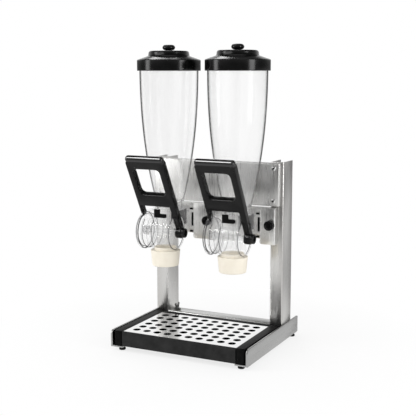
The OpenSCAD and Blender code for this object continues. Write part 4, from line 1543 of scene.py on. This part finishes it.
# %% [markdown]
# ## Dispensers: window and dent of a handle
#
# A window with round corners is cut through the frame, and a long shallow dent into the arm. Their
# rims are softened by picking only the edges that lie on them, since a bevel of the whole handle
# would round its edges twice. The faces are split into triangles here, because a face with a window
# in it can be split badly when it is exported.

# %% Window and dent
WINDOW_LOW, WINDOW_HIGH = Vector((-33, -6, 93.5)), Vector((27.5, 18, 157.5))
WINDOW_ROUND, WINDOW_SOFT = 9, 2.2
DENT = Vector((FRAME_X[1], (FRAME_Y[0] + EYE_R) / 2, 28.5))
DENT_R, DENT_LONG, DENT_DEPTH, DENT_SOFT = 4.2, 1.9, 1.5, 0.7
window = block("window", WINDOW_LOW * MM, WINDOW_HIGH * MM)
pick(window, "EDGE", lambda points: abs(points[0].y - points[1].y) > MM)
bpy.ops.mesh.bevel(offset=WINDOW_ROUND * MM, segments=8, affect="EDGES")
bpy.ops.object.mode_set(mode="OBJECT")
combine(handle, window, "DIFFERENCE")
dent = settle(turned("dent", [(DENT_R, -DENT_DEPTH), (DENT_R, 3)], 32), (0, 0, 0), TO_PLUS_X)
take(dent)
dent.scale = (1, 1, DENT_LONG)
bpy.ops.object.transform_apply(scale=True)
settle(dent, DENT * MM)
combine(handle, dent, "DIFFERENCE")
clean(handle)


def on_window(points):
    """True for the edges where the window meets the front and the rear face."""
    flat = all(min(abs(p.y / MM - y) for y in FRAME_Y) < 0.05 for p in points)
    across = all(WINDOW_LOW.x - 0.1 < p.x / MM < WINDOW_HIGH.x + 0.1 for p in points)
    return flat and across and all(WINDOW_LOW.z - 0.1 < p.z / MM < WINDOW_HIGH.z + 0.1 for p in points)


def on_dent(points):
    """True for the edges where the dent meets the side of the arm."""
    flat = all(abs(p.x / MM - DENT.x) < 0.05 for p in points)
    across = all(abs(p.y / MM - DENT.y) < DENT_R + 0.1 for p in points)
    return flat and across and all(abs(p.z / MM - DENT.z) < DENT_R * DENT_LONG + 1 for p in points)


for edge, soft in ((on_window, WINDOW_SOFT), (on_dent, DENT_SOFT)):
    pick(handle, "EDGE", edge)
    bpy.ops.mesh.bevel(offset=soft * MM, segments=3, affect="EDGES")
bpy.ops.mesh.select_all(action="SELECT")
bpy.ops.mesh.quads_convert_to_tris(ngon_method="BEAUTY")
bpy.ops.object.mode_set(mode="OBJECT")
print("Handle with window and dent has", len(handle.data.polygons), "triangles")

# %% [markdown]
# ## Dispensers: lean and worn grip
#
# At rest the lever leans forward. Hands polish its grip roll and dent, so these faces get a smoother
# black. A painted mask could blend it, but here the edge of the worn part follows the shape. The
# test turns each face back upright, so it can use the sizes from above.

# %% Lean and worn grip
LEAN = math.radians(29)
settle(handle, LEFT_WHEEL, (LEAN, 0, 0))
dress_pair(handle, "lever_handle", black_satin, "black_satin", both("lever"), both("handle"))


def on_grip(middle, normal):
    """True for the grip roll and for the dent, which hands polish."""
    up, out = math.cos(LEAN), math.sin(LEAN)
    high = (middle.z - LEFT_WHEEL.z / MM) * up - (middle.y - LEFT_WHEEL.y / MM) * out
    ahead = (middle.y - LEFT_WHEEL.y / MM) * up + (middle.z - LEFT_WHEEL.z / MM) * out
    on_roll = math.hypot(ahead - ROLL_Y, high - ROLL_Z) < ROLL_R + 0.1 and high > ROLL_Z - ROLL_R
    across = (ahead - DENT.y) / (DENT_R + DENT_SOFT)
    along = (high - DENT.z) / (DENT_R * DENT_LONG + DENT_SOFT)
    in_dent = math.hypot(across, along) < 1 and normal.x > 0.02
    return on_roll or in_dent


for side in ("left", "right"):
    second_finish(bpy.data.objects["lever_handle_" + side], black_worn, on_grip)

# %% [markdown]
# ## Dispensers: end discs
#
# A clear disc turns with the lever at the left end of the drum. It is turned with a raised rim, a
# thin web and a hub. The rounded edges of the rim get the same painted shade as the drum's rings,
# and the hub a frosted finish.

# %% End discs
DISC = (-50, -43)
DISC_R, DISC_RIM, DISC_HUB, DISC_WEB, DISC_SOFT = 39.5, 35, 9.5, 3, 2.1
AXLE_BORE = 5.02
web_face = DISC[1] - DISC_WEB
outline = [(AXLE_BORE, DISC[1])] + arc((DISC_R - DISC_SOFT, DISC[1] - DISC_SOFT), DISC_SOFT, 90, 0, 4)
outline += arc((DISC_R - DISC_SOFT, DISC[0] + DISC_SOFT), DISC_SOFT, 0, -90, 4)
outline += arc((DISC_RIM + 1, DISC[0] + 1), 1, -90, -180, 4)
outline += [(DISC_RIM, web_face - 1), (DISC_RIM - 1, web_face)]
outline += [(DISC_HUB + 1, web_face), (DISC_HUB, web_face - 1)]
outline += arc((DISC_HUB - 0.8, DISC[0] + 0.8), 0.8, 0, -90, 4)
outline += [(AXLE_BORE, DISC[0]), (AXLE_BORE, DISC[1])]
disc = settle(turned("disc", outline), LEFT_WHEEL, TO_PLUS_X)
dress_pair(disc, "clear_disc", clear, "clear_plastic", both("lever"), both("end_disc"))


def on_rim(middle, normal):
    """True for the rounded edges of a disc's rim."""
    return 0.1 < abs(normal.x) < 0.95 and from_axle(middle) > DISC_RIM - 1


def on_hub(middle, normal):
    """True for the hub of a disc."""
    return from_axle(middle) < DISC_HUB


for side in ("left", "right"):
    second_finish(bpy.data.objects["clear_disc_" + side], clear_painted_shade, on_rim)
    second_finish(bpy.data.objects["clear_disc_" + side], frosted, on_hub)

# %% [markdown]
# ## Dispensers: bosses
#
# A black cap sits on the outside of the arm, over the end of the axle. It has a lip round a sunken
# middle, and both are in one turned outline, so no cut is needed.

# %% Bosses
BOSS = (41, 48)
BOSS_R, BOSS_LIP, BOSS_SUNK = 10, 7, 3.8
BOSS_ROUND, LIP_ROUND = 1.4, 0.6
outline = [(AXLE_BORE, BOSS[0]), (BOSS_R, BOSS[0])]
outline += arc((BOSS_R - BOSS_ROUND, BOSS[1] - BOSS_ROUND), BOSS_ROUND, 0, 90, 5)
outline += arc((BOSS_LIP + LIP_ROUND, BOSS[1] - LIP_ROUND), LIP_ROUND, 90, 180, 3)
outline += [(BOSS_LIP - 0.4, BOSS[1] - BOSS_SUNK), (AXIS, BOSS[1] - BOSS_SUNK + 0.3)]
boss = settle(turned("boss", outline, 64), LEFT_WHEEL, TO_PLUS_X)
dress_pair(boss, "boss_cap", black_gloss, "black_gloss", both("lever"), both("boss"))

# %% [markdown]
# ## Dispensers: chutes
#
# A cream chute hangs on the outlet and narrows towards the bowl. It is one turned wall with a sleeve
# at the top that shows through the clear spigot. The outline ends where it starts, and the doubled
# ring is merged, so the wall is closed.

# %% Chutes
CHUTE_TOP_R, CHUTE_END_R, CHUTE_IN, CHUTE_STEP = 31, 28, 25.5, 11.5
SLEEVE_R, SLEEVE_IN, SLEEVE_H = 23.6, 21.6, 6.5
low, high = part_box("chute_left")
chute_low, chute_high = low.z / MM, high.z / MM
sleeve_top = chute_high + SLEEVE_H
step = chute_high - CHUTE_STEP
outline = [(SLEEVE_R, chute_high), (SLEEVE_R, sleeve_top - 0.6), (SLEEVE_R - 0.6, sleeve_top)]
outline += [(SLEEVE_IN, sleeve_top), (SLEEVE_IN, step - 1), (CHUTE_IN, step - 4)]
outline += [(CHUTE_IN, chute_low + 0.6), (CHUTE_IN + 0.6, chute_low)]
outline += [(CHUTE_END_R - 0.8, chute_low), (CHUTE_END_R, chute_low + 0.8)]
outline += [(CHUTE_TOP_R, chute_high - 0.8), (CHUTE_TOP_R - 0.8, chute_high), (SLEEVE_R, chute_high)]
chute = settle(turned("chute", outline), (LEFT_WHEEL.x, LEFT_WHEEL.y, 0))
dress_pair(chute, "cream_chute", cream, "cream_plastic", both("chute"), both("chute"))

# %% [markdown]
# ## Glint on the levers and drums
#
# One of the soft boxes draws the white line along each grip roll. In the steel and in the lids its
# mirror image would be in the way. Light linking lets a lamp reach only the pieces of one
# collection, which is simpler than hiding the lamp behind screens.

# %% Glint on the levers and drums only
in_glint = bpy.data.collections.new("pieces_in_the_glint")
for name in both("lever_handle") + both("clear_housing"):
    in_glint.objects.link(bpy.data.objects[name])
glint.light_linking.receiver_collection = in_glint

# %% [markdown]
#
# The box of the whole dressed model is printed last, after the reach of each piece outside its own
# solid's box that was printed as it was dressed. The dressed model has to stay inside the imported
# model's box.

# %% Print the dressed model's box
low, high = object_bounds()
print("Visual box from", tuple(low), "to", tuple(high))
